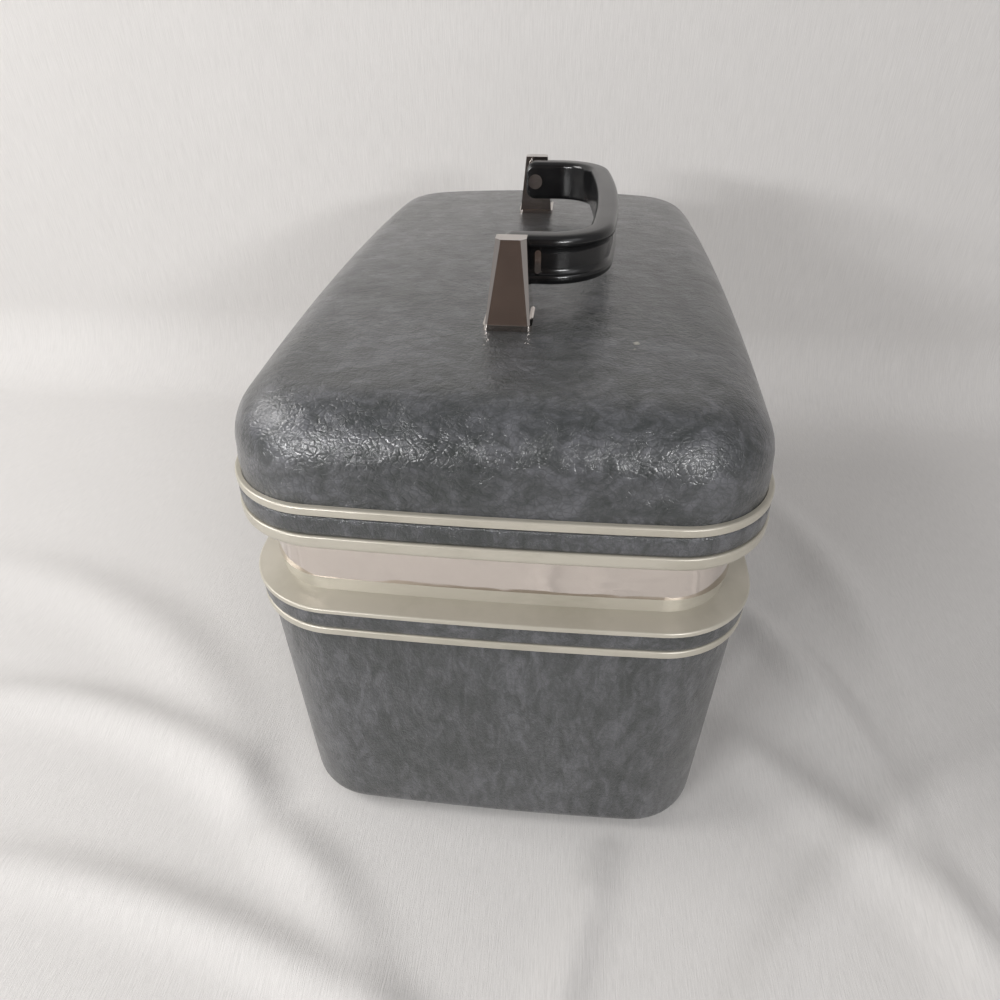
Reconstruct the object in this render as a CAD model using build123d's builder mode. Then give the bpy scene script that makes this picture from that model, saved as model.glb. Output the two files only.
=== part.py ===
"""Hard-sided vanity case: a tub and a hinged lid with extruded rims, a recessed bright band between
them, a folding carrying handle on two chromed posts, two latches, two hinges and a lift-out tray.

Millimetres, +Z up. The latches are at the front (-Y), the hinges at the back, the length along X.
The origin is on the floor under the middle of the case.
"""
import os
from math import atan2, cos, degrees, hypot, radians, sin, sqrt

from build123d import *

# ------------------------------------------------------------------ plan
case_length = 370.0
case_width = 228.0
corner_radius = 42.0
end_bow = 3.0
side_bow = 3.5

# ------------------------------------------------------------------ heights, from the floor up
foot_height = 3.0
floor_to_bead = 137.0
bead_height = 4.0
band_height = 9.5
lip_height = 2.0
ledge_rise = 1.5
upstand_height = 7.0
seam_gap = 0.3
recess_height = 32.5
lid_lip_height = 7.0
lid_height = 64.0

body_bead_z = foot_height + floor_to_bead
body_band_z = body_bead_z + bead_height
ledge_lip_z = body_band_z + band_height
ledge_edge_z = ledge_lip_z + lip_height
ledge_root_z = ledge_edge_z + ledge_rise
seam_z = ledge_root_z + upstand_height
lid_lip_z = ledge_edge_z + recess_height
lid_band_z = lid_lip_z + lid_lip_height
lid_bead_z = lid_band_z + band_height
lid_frame_top_z = lid_bead_z + bead_height
lid_top_z = lid_lip_z + lid_height

# ------------------------------------------------------------------ rim extrusions, inwards from the rims
bead_inset = 0.6
groove_inset = 1.6
band_inset = 0.9
slot_inset = 3.0
shell_wall = 2.3
shell_clearance = 0.15
slot_depth = 9.0
slot_wall = 1.5
slot_wall_overhang = 2.0
recess_depth = 11.5
valance_proud = 0.9
valance_thickness = 1.05
skirt_thickness = 1.2
tongue_clearance = 0.3
tongue_thickness = 1.5
tongue_height = 4.0
web_thickness = 2.0
bead_rounding = 0.9
lip_rounding = 3.0
fit = 0.05

slot_far_inset = slot_inset + shell_wall + 2 * shell_clearance
frame_inner_inset = slot_far_inset + slot_wall
valance_inset = recess_depth - valance_proud
skirt_inset = valance_inset + valance_thickness + fit
skirt_inner_inset = skirt_inset + skirt_thickness
tongue_inset = skirt_inner_inset + tongue_clearance
opening_inset = tongue_inset + tongue_thickness

# ------------------------------------------------------------------ shells and linings
shell_inset = slot_inset + shell_clearance
body_taper = 2.6
collar_height = 6.0
base_rounding = 10.0
lid_taper = 1.6
lid_rounding = 24.0
crown_across = 1204.0
crown_along = 3750.0
lining_thickness = 1.5
lining_clearance = 0.1
ceiling_gap = 5.0

# ------------------------------------------------------------------ tray and its rails
body_gap = 0.3
tray_clearance = 1.0
tray_depth = 42.0
tray_wall = 2.0
tray_below_seam = 13.0
tray_corner = 6.0
tray_front_share = 0.42
rail_height = 9.0
rail_width = 16.0
rail_length = 120.0
finger_notch_radius = 14.0

# ------------------------------------------------------------------ feet
foot_radius = 8.0
foot_edge = 1.0
foot_nail_radius = 1.5
foot_nail_head = 3.2
foot_nail_head_height = 0.8
foot_inset = 30.0

# ------------------------------------------------------------------ handle posts
post_inner_x = 85.0
post_base_length = 22.0
post_top_length = 8.5
post_base_width = 19.0
post_top_width = 13.0
post_height = 31.0
post_base_chamfer = 1.0
post_top_chamfer = 2.4
shelf_width = 8.0
shelf_reach = 5.0
shelf_thickness = 3.0
foot_plate_margin = 0.9
foot_plate_height = 2.0
foot_plate_corner = 2.0
backing_margin = 2.0
backing_thickness = 1.6
post_screw_radius = 2.0
post_screw_head = 3.6
post_screw_head_height = 1.6
post_screw_spacing = 11.0
post_screw_depth = 8.5

# ------------------------------------------------------------------ handle
pivot_above_lid = 20.5
pivot_radius = 2.6
pivot_socket_depth = 8.0
pivot_head_radius = 4.2
pivot_head_height = 1.2
washer_radius = 6.0
washer_thickness = 0.8
handle_width = 21.0
handle_thickness = 11.0
handle_rounding = 3.0
handle_reach = 41.5
handle_arch = 6.0
handle_bend = 24.0
handle_heel = 5.5
heel_rounding = 5.2
channel_width = 12.0
channel_depth = 1.6
core_width = 13.0
core_thickness = 2.0
core_heel = 4.0
core_heel_rounding = 3.0
core_clearance = 0.05
tip_from_pivot = 11.0
tip_length = 10.0
tip_width = 2.6
tip_proud = 0.3

# ------------------------------------------------------------------ hinges and rivets
hinge_x = 95.0
hinge_width = 44.0
hinge_inset = 6.0
hinge_above_seam = 1.0
knuckle_count = 5
knuckle_radius = 2.8
knuckle_gap = 0.3
hinge_pin_radius = 1.3
leaf_thickness = 1.5
upper_leaf_start = 2.2
upper_leaf_height = 16.0
plate_height = 5.8
plate_edge_gap = 0.6
knuckle_tab = 1.5
stop_reach = 4.8
stop_height = 2.0
rivet_radius = 1.3
rivet_head_radius = 2.1
rivet_head_height = 0.8
rivet_seat = 0.08
rivet_spacing = 28.0

# ------------------------------------------------------------------ latches
latch_x = 75.0
latch_width = 46.0
latch_inset = 5.6
latch_below_seam = 1.7
latch_thickness = 2.4
latch_rise = 22.5
latch_edge = 0.8
latch_barrel_radius = 2.6
latch_pin_radius = 1.2
latch_ear = 1.5
latch_lean = 7.0
hook_reach = 6.0
hook_thickness = 2.0
hook_height = 17.0
hook_width = 28.0
striker_width = 30.0
striker_thickness = 0.9
striker_lip_reach = 1.7
striker_lip_thickness = 1.0
striker_height = 10.0
striker_rivet_spacing = 20.0
striker_rivet_drop = 6.4
lock_height = 9.5
lock_radius = 5.0
lock_proud = 0.7
lock_depth = 5.0
plug_radius = 3.2
keyway_width = 0.9
keyway_length = 3.6
keyway_depth = 3.0

# ------------------------------------------------------------------ mirror
mirror_length = 200.0
mirror_width = 130.0
mirror_thickness = 2.0
mirror_corner = 10.0
mirror_border = 7.0
mirror_rebate = 2.0
mirror_lip = 1.2
mirror_back = 1.6

# ------------------------------------------------------------------ places that follow from the sizes
half_length = case_length / 2
half_width = case_width / 2
BOTH_SIDES = (("left", -1), ("right", 1))
slot_floor_z = lid_frame_top_z - slot_depth
body_lining_inset = frame_inner_inset + lining_clearance - shell_inset
tray_top_z = seam_z - tray_below_seam
tray_floor_z = tray_top_z - tray_depth
rail_top_z = tray_floor_z - body_gap
pivot_z = lid_top_z + pivot_above_lid
arm_outer_x = post_inner_x - washer_thickness - body_gap
arm_centre_x = arm_outer_x - handle_thickness / 2
arm_inner_x = arm_outer_x - handle_thickness
post_centre_x = post_inner_x + post_base_length / 2
plate_z = ledge_root_z + plate_edge_gap
plate_rivet_z = plate_z + rivet_head_radius + 0.1
hinge_z = seam_z + hinge_above_seam
upper_leaf_z = seam_z + upper_leaf_start
upper_rivet_z = upper_leaf_z + upper_leaf_height * 0.6
latch_z = seam_z - latch_below_seam
striker_top_z = latch_z + hook_height - body_gap
striker_rivet_z = striker_top_z - striker_rivet_drop

os.makedirs("parts", exist_ok=True)


def write(built, name):
    """Labels a finished piece and writes it to its own file."""
    built.part.label = name
    export_step(built.part, f"parts/{name}.step")


def bow_radius(half_span, bow):
    return (half_span**2 + bow**2) / (2 * bow)


def edge_y(x):
    """How far the rims' long edge is from the middle plane at a station along the case."""
    radius = bow_radius(half_length - end_bow, side_bow)
    return half_width - radius + sqrt(radius**2 - x**2)


def corner_point(inset):
    """Where the arcs of a long side and an end would meet if the corner weren't rounded."""
    side_radius = bow_radius(half_length - end_bow, side_bow)
    end_radius = bow_radius(half_width - side_bow, end_bow)
    below = side_radius - half_width
    behind = end_radius - half_length
    apart = hypot(below, behind)
    along = ((side_radius - inset)**2 - (end_radius - inset)**2 + apart**2) / (2 * apart)
    off = sqrt((side_radius - inset)**2 - along**2)
    return (off * below - along * behind) / apart, (along * below + off * behind) / apart - below


def outline(inset, z):
    """The case's plan, four bowed sides and four round corners, drawn in by inset at height z."""
    x, y = corner_point(inset)
    with BuildSketch(Plane.XY.offset(z), mode=Mode.PRIVATE) as plan:
        with BuildLine():
            ThreePointArc((-x, -y), (0, inset - half_width), (x, -y))
            ThreePointArc((x, -y), (half_length - inset, 0), (x, y))
            ThreePointArc((x, y), (0, half_width - inset), (-x, y))
            ThreePointArc((-x, y), (inset - half_length, 0), (-x, -y))
        make_face()
        fillet(plan.vertices(), corner_radius - inset)
    return plan.sketch


def ring(outer_inset, inner_inset, low_z, high_z):
    """An upright band between two insets."""
    with BuildPart(mode=Mode.PRIVATE) as band:
        add(extrude(outline(outer_inset, low_z), amount=high_z - low_z))
        add(extrude(outline(inner_inset, low_z), amount=high_z - low_z), mode=Mode.SUBTRACT)
    return band.part


def swept_ring(points, rounded):
    """A rim extrusion bent round the case: points are (inset, z), rounded maps a point to its radius."""
    path = outline(0, 0).face().outer_wire()
    tangent = path % 0
    inward = Vector(0, 0, 1).cross(tangent)
    if inward.dot(path @ 0) > 0:
        tangent, inward = -tangent, -inward
    with BuildPart(mode=Mode.PRIVATE) as rim:
        with BuildSketch(Plane(origin=path @ 0, x_dir=inward, z_dir=tangent)) as section:
            with BuildLine():
                Polyline(*points, close=True)
            make_face()
            for point, radius in rounded.items():
                fillet(section.vertices().sort_by_distance(point)[0], radius)
        sweep(path=path)
    return rim.part


def dome(top_z):
    """Everything under the lid's crown: a shallow arch across, swept along a shallower one."""
    reach = half_width + 5
    drop = crown_across - sqrt(crown_across**2 - reach**2)
    sweep_angle = degrees(atan2(half_length + 5, crown_along)) * 1.01
    with BuildPart(mode=Mode.PRIVATE) as under:
        with BuildSketch(Plane.YZ):
            with BuildLine():
                ThreePointArc((-reach, top_z - drop), (0, top_z), (reach, top_z - drop))
                Polyline((reach, top_z - drop), (reach, seam_z), (-reach, seam_z), (-reach, top_z - drop))
            make_face()
        revolve(axis=Axis((0, 0, top_z - crown_along), (0, 1, 0)), revolution_arc=sweep_angle)
        mirror(about=Plane.YZ)
    return under.part


def crown_z(x, y=0.0):
    """Height of the lid's outer skin over a point."""
    across = crown_across - sqrt(crown_across**2 - y**2)
    along = crown_along - sqrt(crown_along**2 - x**2)
    return lid_top_z - across - along


def body_block(inset, floor_z, top_z, rounding):
    """The tub's solid form at an inset from its outer skin: a tapered block under a plain collar."""
    taper_top_z = body_bead_z - collar_height
    with BuildPart(mode=Mode.PRIVATE) as block:
        add(loft([outline(shell_inset + body_taper + inset, floor_z),
                  outline(shell_inset + inset, taper_top_z)],
                 ruled=True))
        fillet(block.faces().sort_by(Axis.Z)[0].edges(), rounding)
        add(extrude(outline(shell_inset + inset, taper_top_z), amount=top_z - taper_top_z))
    return block.part


def lid_block(inset, low_z, top_z, rounding):
    """The lid's solid form at an inset from its outer skin: a crowned, tapered block over a collar."""
    taper_low_z = lid_frame_top_z + collar_height
    with BuildPart(mode=Mode.PRIVATE) as block:
        add(loft([outline(shell_inset + inset, taper_low_z),
                  outline(shell_inset + lid_taper + inset, lid_top_z + 2)], ruled=True))
        add(dome(top_z), mode=Mode.INTERSECT)
        crown_face = block.faces().sort_by(Axis.Z)[-1]
        fillet(crown_face.edges(), rounding)
        add(extrude(outline(shell_inset + inset, low_z), amount=taper_low_z - low_z))
    return block.part


def wall_plate(x, side, width, outer_inset, inner_inset, low_z, high_z):
    """A plate that follows the bowed long wall between two insets; side is -1 in front, 1 behind."""
    with BuildPart(mode=Mode.PRIVATE) as plate:
        with BuildSketch(Plane.XY.offset(low_z)):
            with Locations((x, side * (half_width - recess_depth))):
                Rectangle(width, 2 * recess_depth)
            add(outline(outer_inset, 0), mode=Mode.INTERSECT)
            add(outline(inner_inset, 0), mode=Mode.SUBTRACT)
        extrude(amount=high_z - low_z)
    return plate.part


def across_wall(x, side, z, from_inset, to_inset, radius):
    """A round bar square to the long wall, from one inset to a deeper one."""
    start_y = side * (edge_y(abs(x)) - from_inset)
    with BuildPart(mode=Mode.PRIVATE) as bar:
        with BuildSketch(Plane(origin=(x, start_y, z), x_dir=(side, 0, 0), z_dir=(0, -side, 0))):
            Circle(radius)
        extrude(amount=to_inset - from_inset)
    return bar.part


def rivet(x, side, z, head_inset, tail_inset, tail_head):
    """A rivet with its head on the outer face; tail_head is the height of the head inside, or 0."""
    with BuildPart(mode=Mode.PRIVATE) as body:
        add(across_wall(x, side, z, head_inset - rivet_seat - rivet_head_height, head_inset - rivet_seat,
                        rivet_head_radius))
        add(across_wall(x, side, z, head_inset - rivet_seat, tail_inset, rivet_radius))
        if tail_head:
            add(across_wall(x, side, z, tail_inset, tail_inset + rivet_seat, rivet_radius))
            add(across_wall(x, side, z, tail_inset + rivet_seat, tail_inset + rivet_seat + tail_head,
                            rivet_head_radius))
    return body.part


def pair(middle, spacing):
    return (middle - spacing / 2, middle + spacing / 2)


def rivet_bore(x, side, z):
    return across_wall(x, side, z, -1, opening_inset + 2, rivet_radius + fit)


BODY_RIVETS = [(x, 1, plate_rivet_z) for s in (-1, 1) for x in pair(s * hinge_x, rivet_spacing)]
BODY_RIVETS += [(x, -1, plate_rivet_z) for s in (-1, 1) for x in pair(s * latch_x, rivet_spacing)]
HINGE_LID_RIVETS = [(x, 1, upper_rivet_z) for s in (-1, 1) for x in pair(s * hinge_x, rivet_spacing)]
STRIKER_RIVETS = [(x, -1, striker_rivet_z)
                  for s in (-1, 1) for x in pair(s * latch_x, striker_rivet_spacing)]
FOOT_SPOTS = [(sx * (half_length - foot_inset), sy * (half_width - foot_inset))
              for sx in (-1, 1) for sy in (-1, 1)]

# ================================================================== the tub
body_frame_section = [
    (bead_inset, body_bead_z),
    (bead_inset, body_band_z),
    (groove_inset, body_band_z),
    (groove_inset, ledge_lip_z),
    (0, ledge_lip_z),
    (0, ledge_edge_z),
    (recess_depth, ledge_root_z),
    (recess_depth, seam_z),
    (tongue_inset, seam_z),
    (tongue_inset, seam_z + tongue_height),
    (opening_inset, seam_z + tongue_height),
    (opening_inset, ledge_root_z - web_thickness),
    (frame_inner_inset, ledge_root_z - web_thickness),
    (frame_inner_inset, body_bead_z - slot_wall_overhang),
    (slot_far_inset, body_bead_z - slot_wall_overhang),
    (slot_far_inset, body_bead_z + slot_depth),
    (slot_inset, body_bead_z + slot_depth),
    (slot_inset, body_bead_z),
]
with BuildPart() as body_frame:
    add(swept_ring(body_frame_section, {
        body_frame_section[0]: bead_rounding,
        body_frame_section[1]: bead_rounding,
        body_frame_section[5]: bead_rounding,
        body_frame_section[10]: tongue_thickness / 3,
    }))
    for x, side, z in BODY_RIVETS:
        add(rivet_bore(x, side, z), mode=Mode.SUBTRACT)
write(body_frame, "body_frame")

with BuildPart() as body_band:
    add(ring(band_inset, groove_inset, body_band_z + fit, ledge_lip_z - fit))
write(body_band, "body_band")

body_shell_top_z = body_bead_z + slot_depth - shell_clearance
with BuildPart() as body_shell:
    add(body_block(0, foot_height, body_shell_top_z, base_rounding))
    add(body_block(shell_wall, foot_height + shell_wall, body_shell_top_z + 1, base_rounding - shell_wall),
        mode=Mode.SUBTRACT)
    with BuildSketch(Plane.XY.offset(foot_height - 1)):
        with Locations(*FOOT_SPOTS):
            Circle(foot_nail_radius + fit)
    extrude(amount=shell_wall + 2, mode=Mode.SUBTRACT)
write(body_shell, "body_shell")

lining_floor_z = foot_height + shell_wall + foot_nail_head_height + lining_clearance
lining_top_z = ledge_root_z - web_thickness - lining_clearance
lining_inner_inset = body_lining_inset + lining_thickness
with BuildPart() as body_lining:
    add(body_block(body_lining_inset, lining_floor_z, lining_top_z, base_rounding - body_lining_inset))
    add(body_block(lining_inner_inset, lining_floor_z + lining_thickness, lining_top_z + 1,
                   base_rounding - lining_inner_inset), mode=Mode.SUBTRACT)
write(body_lining, "body_lining")

for place, side in (("front", -1), ("back", 1)):
    with BuildPart() as rail:
        with BuildSketch(Plane.XY.offset(rail_top_z - rail_height)):
            with Locations((0, side * (half_width - shell_inset - lining_inner_inset - rail_width / 2))):
                Rectangle(rail_length, rail_width + 2 * body_taper)
        extrude(amount=rail_height)
        add(body_block(lining_inner_inset, lining_floor_z + lining_thickness, lining_top_z,
                       base_rounding - lining_inner_inset), mode=Mode.INTERSECT)
        fillet(rail.faces().sort_by(Axis.Y)[-1 if side < 0 else 0].edges().filter_by(Axis.Z), 3)
    write(rail, f"tray_rail_{place}")

for index, (x, y) in enumerate(FOOT_SPOTS, start=1):
    with BuildPart() as foot:
        with BuildSketch():
            with Locations((x, y)):
                Circle(foot_radius)
        extrude(amount=foot_height)
        fillet(foot.faces().sort_by(Axis.Z)[0].edges(), foot_edge)
        with BuildSketch(Plane.XY.offset(foot_edge)):
            with Locations((x, y)):
                Circle(foot_nail_radius + fit)
        extrude(amount=foot_height, mode=Mode.SUBTRACT)
    write(foot, f"foot_{index}")

with BuildPart() as foot_nails:
    with BuildSketch(Plane.XY.offset(foot_edge)):
        with Locations(*FOOT_SPOTS):
            Circle(foot_nail_radius)
    extrude(amount=foot_height - foot_edge + shell_wall)
    with BuildSketch(Plane.XY.offset(foot_height + shell_wall)):
        with Locations(*FOOT_SPOTS):
            Circle(foot_nail_head)
    extrude(amount=foot_nail_head_height)
write(foot_nails, "foot_nails")

# ================================================================== the lift-out tray
tray_inset = opening_inset + tray_clearance
pocket_inset = tray_inset + tray_wall
tray_inner_x = half_length - pocket_inset
tray_inner_y = half_width - pocket_inset
divider_y = -tray_inner_y + 2 * tray_inner_y * tray_front_share


def pocket(low_x, high_x, low_y, high_y):
    """A tray compartment: a box with round corners, cut to the tray's own bowed outline."""
    with BuildPart(mode=Mode.PRIVATE) as space:
        with BuildSketch(Plane.XY.offset(tray_floor_z + tray_wall)) as plan:
            with Locations(((low_x + high_x) / 2, (low_y + high_y) / 2)):
                Rectangle(high_x - low_x, high_y - low_y)
            add(outline(pocket_inset, 0), mode=Mode.INTERSECT)
            sharp = [v for v in plan.vertices() if abs(v.X) < tray_inner_x - corner_radius or abs(v.Y) < 60]
            fillet(sharp, tray_corner)
        extrude(amount=tray_depth)
    return space.part


front_cells = 2
back_cells = 3
with BuildPart() as tray:
    add(extrude(outline(tray_inset, tray_floor_z), amount=tray_depth))
    fillet(tray.faces().sort_by(Axis.Z)[0].edges(), tray_wall)
    for cells, low_y, high_y in ((front_cells, -half_width, divider_y - tray_wall / 2),
                                 (back_cells, divider_y + tray_wall / 2, half_width)):
        pitch = (2 * tray_inner_x + tray_wall) / cells
        for cell in range(cells):
            low_x = -half_length if cell == 0 else -tray_inner_x + cell * pitch
            high_x = half_length if cell == cells - 1 else -tray_inner_x + (cell + 1) * pitch - tray_wall
            add(pocket(low_x, high_x, low_y, high_y), mode=Mode.SUBTRACT)
    with BuildSketch(Plane.YZ.offset(-half_length)):
        with Locations((0, tray_top_z)):
            Circle(finger_notch_radius)
    extrude(amount=case_length, mode=Mode.SUBTRACT)
write(tray, "tray")

# ================================================================== the lid
lid_frame_section = [
    (0, lid_lip_z),
    (0, lid_band_z),
    (groove_inset, lid_band_z),
    (groove_inset, lid_bead_z),
    (bead_inset, lid_bead_z),
    (bead_inset, lid_frame_top_z),
    (slot_inset, lid_frame_top_z),
    (slot_inset, slot_floor_z),
    (slot_far_inset, slot_floor_z),
    (slot_far_inset, lid_frame_top_z + slot_wall_overhang),
    (frame_inner_inset, lid_frame_top_z + slot_wall_overhang),
    (frame_inner_inset, lid_lip_z + web_thickness),
    (skirt_inner_inset, lid_lip_z + web_thickness),
    (skirt_inner_inset, seam_z + seam_gap),
    (skirt_inset, seam_z + seam_gap),
    (skirt_inset, lid_lip_z),
]
with BuildPart() as lid_frame:
    add(swept_ring(lid_frame_section, {
        lid_frame_section[0]: lip_rounding,
        lid_frame_section[1]: bead_rounding,
        lid_frame_section[4]: bead_rounding,
        lid_frame_section[5]: bead_rounding,
    }))
    for x, side, z in HINGE_LID_RIVETS + STRIKER_RIVETS:
        add(rivet_bore(x, side, z), mode=Mode.SUBTRACT)
write(lid_frame, "lid_frame")

with BuildPart() as lid_valance:
    add(ring(valance_inset, valance_inset + valance_thickness, seam_z + seam_gap, lid_lip_z - fit))
    for x, side, z in HINGE_LID_RIVETS + STRIKER_RIVETS:
        add(rivet_bore(x, side, z), mode=Mode.SUBTRACT)
write(lid_valance, "lid_valance")

with BuildPart() as lid_band:
    add(ring(band_inset, groove_inset, lid_band_z + fit, lid_bead_z - fit))
write(lid_band, "lid_band")

SCREW_SPOTS = [(side * post_centre_x + dx, 0) for side in (-1, 1) for dx in pair(0, post_screw_spacing)]
with BuildPart() as lid_shell:
    add(lid_block(0, slot_floor_z + shell_clearance, lid_top_z, lid_rounding))
    add(lid_block(shell_wall, slot_floor_z - 1, lid_top_z - shell_wall, lid_rounding - shell_wall),
        mode=Mode.SUBTRACT)
    with BuildSketch(Plane.XY.offset(lid_bead_z)):
        with Locations(*SCREW_SPOTS):
            Circle(post_screw_radius + fit)
    extrude(amount=lid_height, mode=Mode.SUBTRACT)
write(lid_shell, "lid_shell")

lid_lining_inset = frame_inner_inset + lining_clearance - shell_inset
lid_lining_inner = lid_lining_inset + lining_thickness
ceiling_z = lid_top_z - shell_wall - ceiling_gap
lid_lining_z = lid_lip_z + web_thickness + lining_clearance
with BuildPart() as lid_lining:
    add(lid_block(lid_lining_inset, lid_lining_z, ceiling_z, lid_rounding - lid_lining_inset))
    add(lid_block(lid_lining_inner, lid_lining_z - 1, ceiling_z - lining_thickness,
                  lid_rounding - lid_lining_inner),
        mode=Mode.SUBTRACT)
write(lid_lining, "lid_lining")

mirror_ceiling_z = ceiling_z - lining_thickness
mirror_corner_drop = mirror_ceiling_z - (crown_z(mirror_length / 2 + mirror_border,
                                                 mirror_width / 2 + mirror_border)
                                         - lid_top_z + mirror_ceiling_z)
mirror_top_z = mirror_ceiling_z - mirror_corner_drop - mirror_back
mirror_frame_z = mirror_top_z - mirror_thickness - mirror_lip
with BuildPart() as mirror_frame:
    with BuildSketch(Plane.XY.offset(mirror_frame_z)):
        RectangleRounded(mirror_length + 2 * mirror_border, mirror_width + 2 * mirror_border,
                         mirror_corner + mirror_border)
    extrude(amount=lid_height)
    add(dome(mirror_ceiling_z - fit), mode=Mode.INTERSECT)
    with BuildSketch(Plane.XY.offset(mirror_frame_z)):
        RectangleRounded(mirror_length - 2 * mirror_rebate, mirror_width - 2 * mirror_rebate,
                         mirror_corner - mirror_rebate)
    extrude(amount=mirror_lip, mode=Mode.SUBTRACT)
    with BuildSketch(Plane.XY.offset(mirror_frame_z + mirror_lip)):
        RectangleRounded(mirror_length + 2 * fit, mirror_width + 2 * fit, mirror_corner)
    extrude(amount=mirror_thickness + fit, mode=Mode.SUBTRACT)
write(mirror_frame, "mirror_frame")

with BuildPart() as mirror_glass:
    with BuildSketch(Plane.XY.offset(mirror_frame_z + mirror_lip)):
        RectangleRounded(mirror_length, mirror_width, mirror_corner)
    extrude(amount=mirror_thickness)
write(mirror_glass, "mirror_glass")

# ================================================================== handle posts
post_z = crown_z(post_inner_x) + foot_plate_height
backing_z = crown_z(post_inner_x + post_base_length + backing_margin, post_base_width / 2 + backing_margin)
backing_z -= shell_wall + backing_thickness + fit


def screw_bores(from_z, to_z, side):
    """The two screw holes of one post, along a stretch of height."""
    with BuildPart(mode=Mode.PRIVATE) as bores:
        with BuildSketch(Plane.XY.offset(from_z)):
            with Locations((side * post_centre_x, 0)):
                with GridLocations(post_screw_spacing, 0, 2, 1):
                    Circle(post_screw_radius + fit)
        extrude(amount=to_z - from_z)
    return bores.part


for place, side in BOTH_SIDES:
    outer = -1 if side > 0 else 0
    with BuildPart() as post:
        for z, length, width, bevel in (
            (post_z, post_base_length, post_base_width, post_base_chamfer),
            (post_z + post_height, post_top_length, post_top_width, post_top_chamfer),
        ):
            with BuildSketch(Plane.XY.offset(z)) as section:
                with Locations((side * (post_inner_x + length / 2), 0)):
                    Rectangle(length, width)
                chamfer(section.vertices().group_by(Axis.X)[outer], bevel)
        loft(ruled=True)
        with BuildSketch(Plane.XY.offset(pivot_z - handle_width / 2 - body_gap - shelf_thickness)):
            with Locations((side * (post_inner_x - shelf_reach / 2 + 0.5), 0)):
                Rectangle(shelf_reach + 1, shelf_width)
        extrude(amount=shelf_thickness)
        with BuildSketch(Plane.YZ.offset(side * post_inner_x)):
            with Locations((0, pivot_z)):
                Circle(pivot_radius + fit)
        extrude(amount=side * pivot_socket_depth, mode=Mode.SUBTRACT)
        add(screw_bores(post_z, post_z + post_screw_depth + fit, side), mode=Mode.SUBTRACT)
    write(post, f"handle_post_{place}")

    with BuildPart() as foot_plate:
        with BuildSketch(Plane.XY.offset(post_z)):
            with Locations((side * post_centre_x, 0)):
                RectangleRounded(post_base_length + 2 * foot_plate_margin,
                                 post_base_width + 2 * foot_plate_margin, foot_plate_corner)
        extrude(amount=-3 * foot_plate_height)
        add(dome(lid_top_z + fit), mode=Mode.SUBTRACT)
        add(screw_bores(post_z - 3 * foot_plate_height, post_z, side), mode=Mode.SUBTRACT)
    write(foot_plate, f"post_foot_{place}")

    with BuildPart() as backing:
        with BuildSketch(Plane.XY.offset(backing_z)):
            with Locations((side * post_centre_x, 0)):
                Rectangle(post_base_length + 2 * backing_margin, post_base_width + 2 * backing_margin)
        extrude(amount=3 * backing_thickness)
        add(dome(lid_top_z - shell_wall - fit), mode=Mode.INTERSECT)
        add(screw_bores(backing_z, lid_top_z, side), mode=Mode.SUBTRACT)
    write(backing, f"post_backing_{place}")

    with BuildPart() as pivot_pin:
        with BuildSketch(Plane.YZ.offset(side * (post_inner_x + pivot_socket_depth))):
            with Locations((0, pivot_z)):
                Circle(pivot_radius)
        extrude(amount=-side * (post_inner_x + pivot_socket_depth - arm_inner_x + body_gap))
        with BuildSketch(Plane.YZ.offset(side * (arm_inner_x - body_gap))):
            with Locations((0, pivot_z)):
                Circle(pivot_head_radius)
        extrude(amount=-side * pivot_head_height)
    write(pivot_pin, f"handle_pin_{place}")

    with BuildPart() as washer:
        with BuildSketch(Plane.YZ.offset(side * post_inner_x)):
            with Locations((0, pivot_z)):
                Circle(washer_radius)
                Circle(pivot_radius + fit, mode=Mode.SUBTRACT)
        extrude(amount=-side * washer_thickness)
    write(washer, f"handle_washer_{place}")

with BuildPart() as post_screws:
    with BuildSketch(Plane.XY.offset(backing_z)):
        with Locations(*SCREW_SPOTS):
            Circle(post_screw_radius)
    extrude(amount=post_z + post_screw_depth - backing_z)
    with BuildSketch(Plane.XY.offset(backing_z - post_screw_head_height)):
        with Locations(*SCREW_SPOTS):
            Circle(post_screw_head)
    extrude(amount=post_screw_head_height)
write(post_screws, "post_screws")

# ================================================================== handle, folded down towards the front
arm_length = handle_reach - handle_arch


def handle_line(heel):
    """The band's centre line, seen from above, from heel to heel."""
    with BuildLine(Plane.XY.offset(pivot_z), mode=Mode.PRIVATE) as line:
        Line((-arm_centre_x, heel), (-arm_centre_x, -arm_length))
        ThreePointArc((-arm_centre_x, -arm_length), (0, -handle_reach), (arm_centre_x, -arm_length))
        Line((arm_centre_x, -arm_length), (arm_centre_x, heel))
        fillet(line.vertices().group_by(Axis.Y)[0], handle_bend)
    return line.wires()[0]


def handle_section(thickness, width, rounding, channel, heel):
    """The band's cross-section past the left-hand pivot, with the channel down its outer face."""
    across = Plane(origin=(-arm_centre_x, heel, pivot_z), x_dir=(-1, 0, 0), z_dir=(0, -1, 0))
    with BuildSketch(across, mode=Mode.PRIVATE) as section:
        Rectangle(thickness, width)
        fillet(section.vertices(), rounding)
        if channel:
            with Locations((thickness / 2, 0)):
                Rectangle(2 * channel, channel_width, mode=Mode.SUBTRACT)
    return section.sketch


def handle_form(thickness, width, rounding, channel, heel, heel_round):
    """A band along the handle's path, with the two corners of each end rounded off past the pivot."""
    with BuildPart(mode=Mode.PRIVATE) as form:
        sweep(handle_section(thickness, width, rounding, channel, heel), path=handle_line(heel))
        with BuildSketch(Plane.YZ.offset(-half_length)) as profile:
            with Locations((heel - case_width / 2, pivot_z)):
                Rectangle(case_width, width)
            fillet(profile.vertices().group_by(Axis.X)[-1], heel_round)
        extrude(amount=case_length, mode=Mode.INTERSECT)
    return form.part


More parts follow.
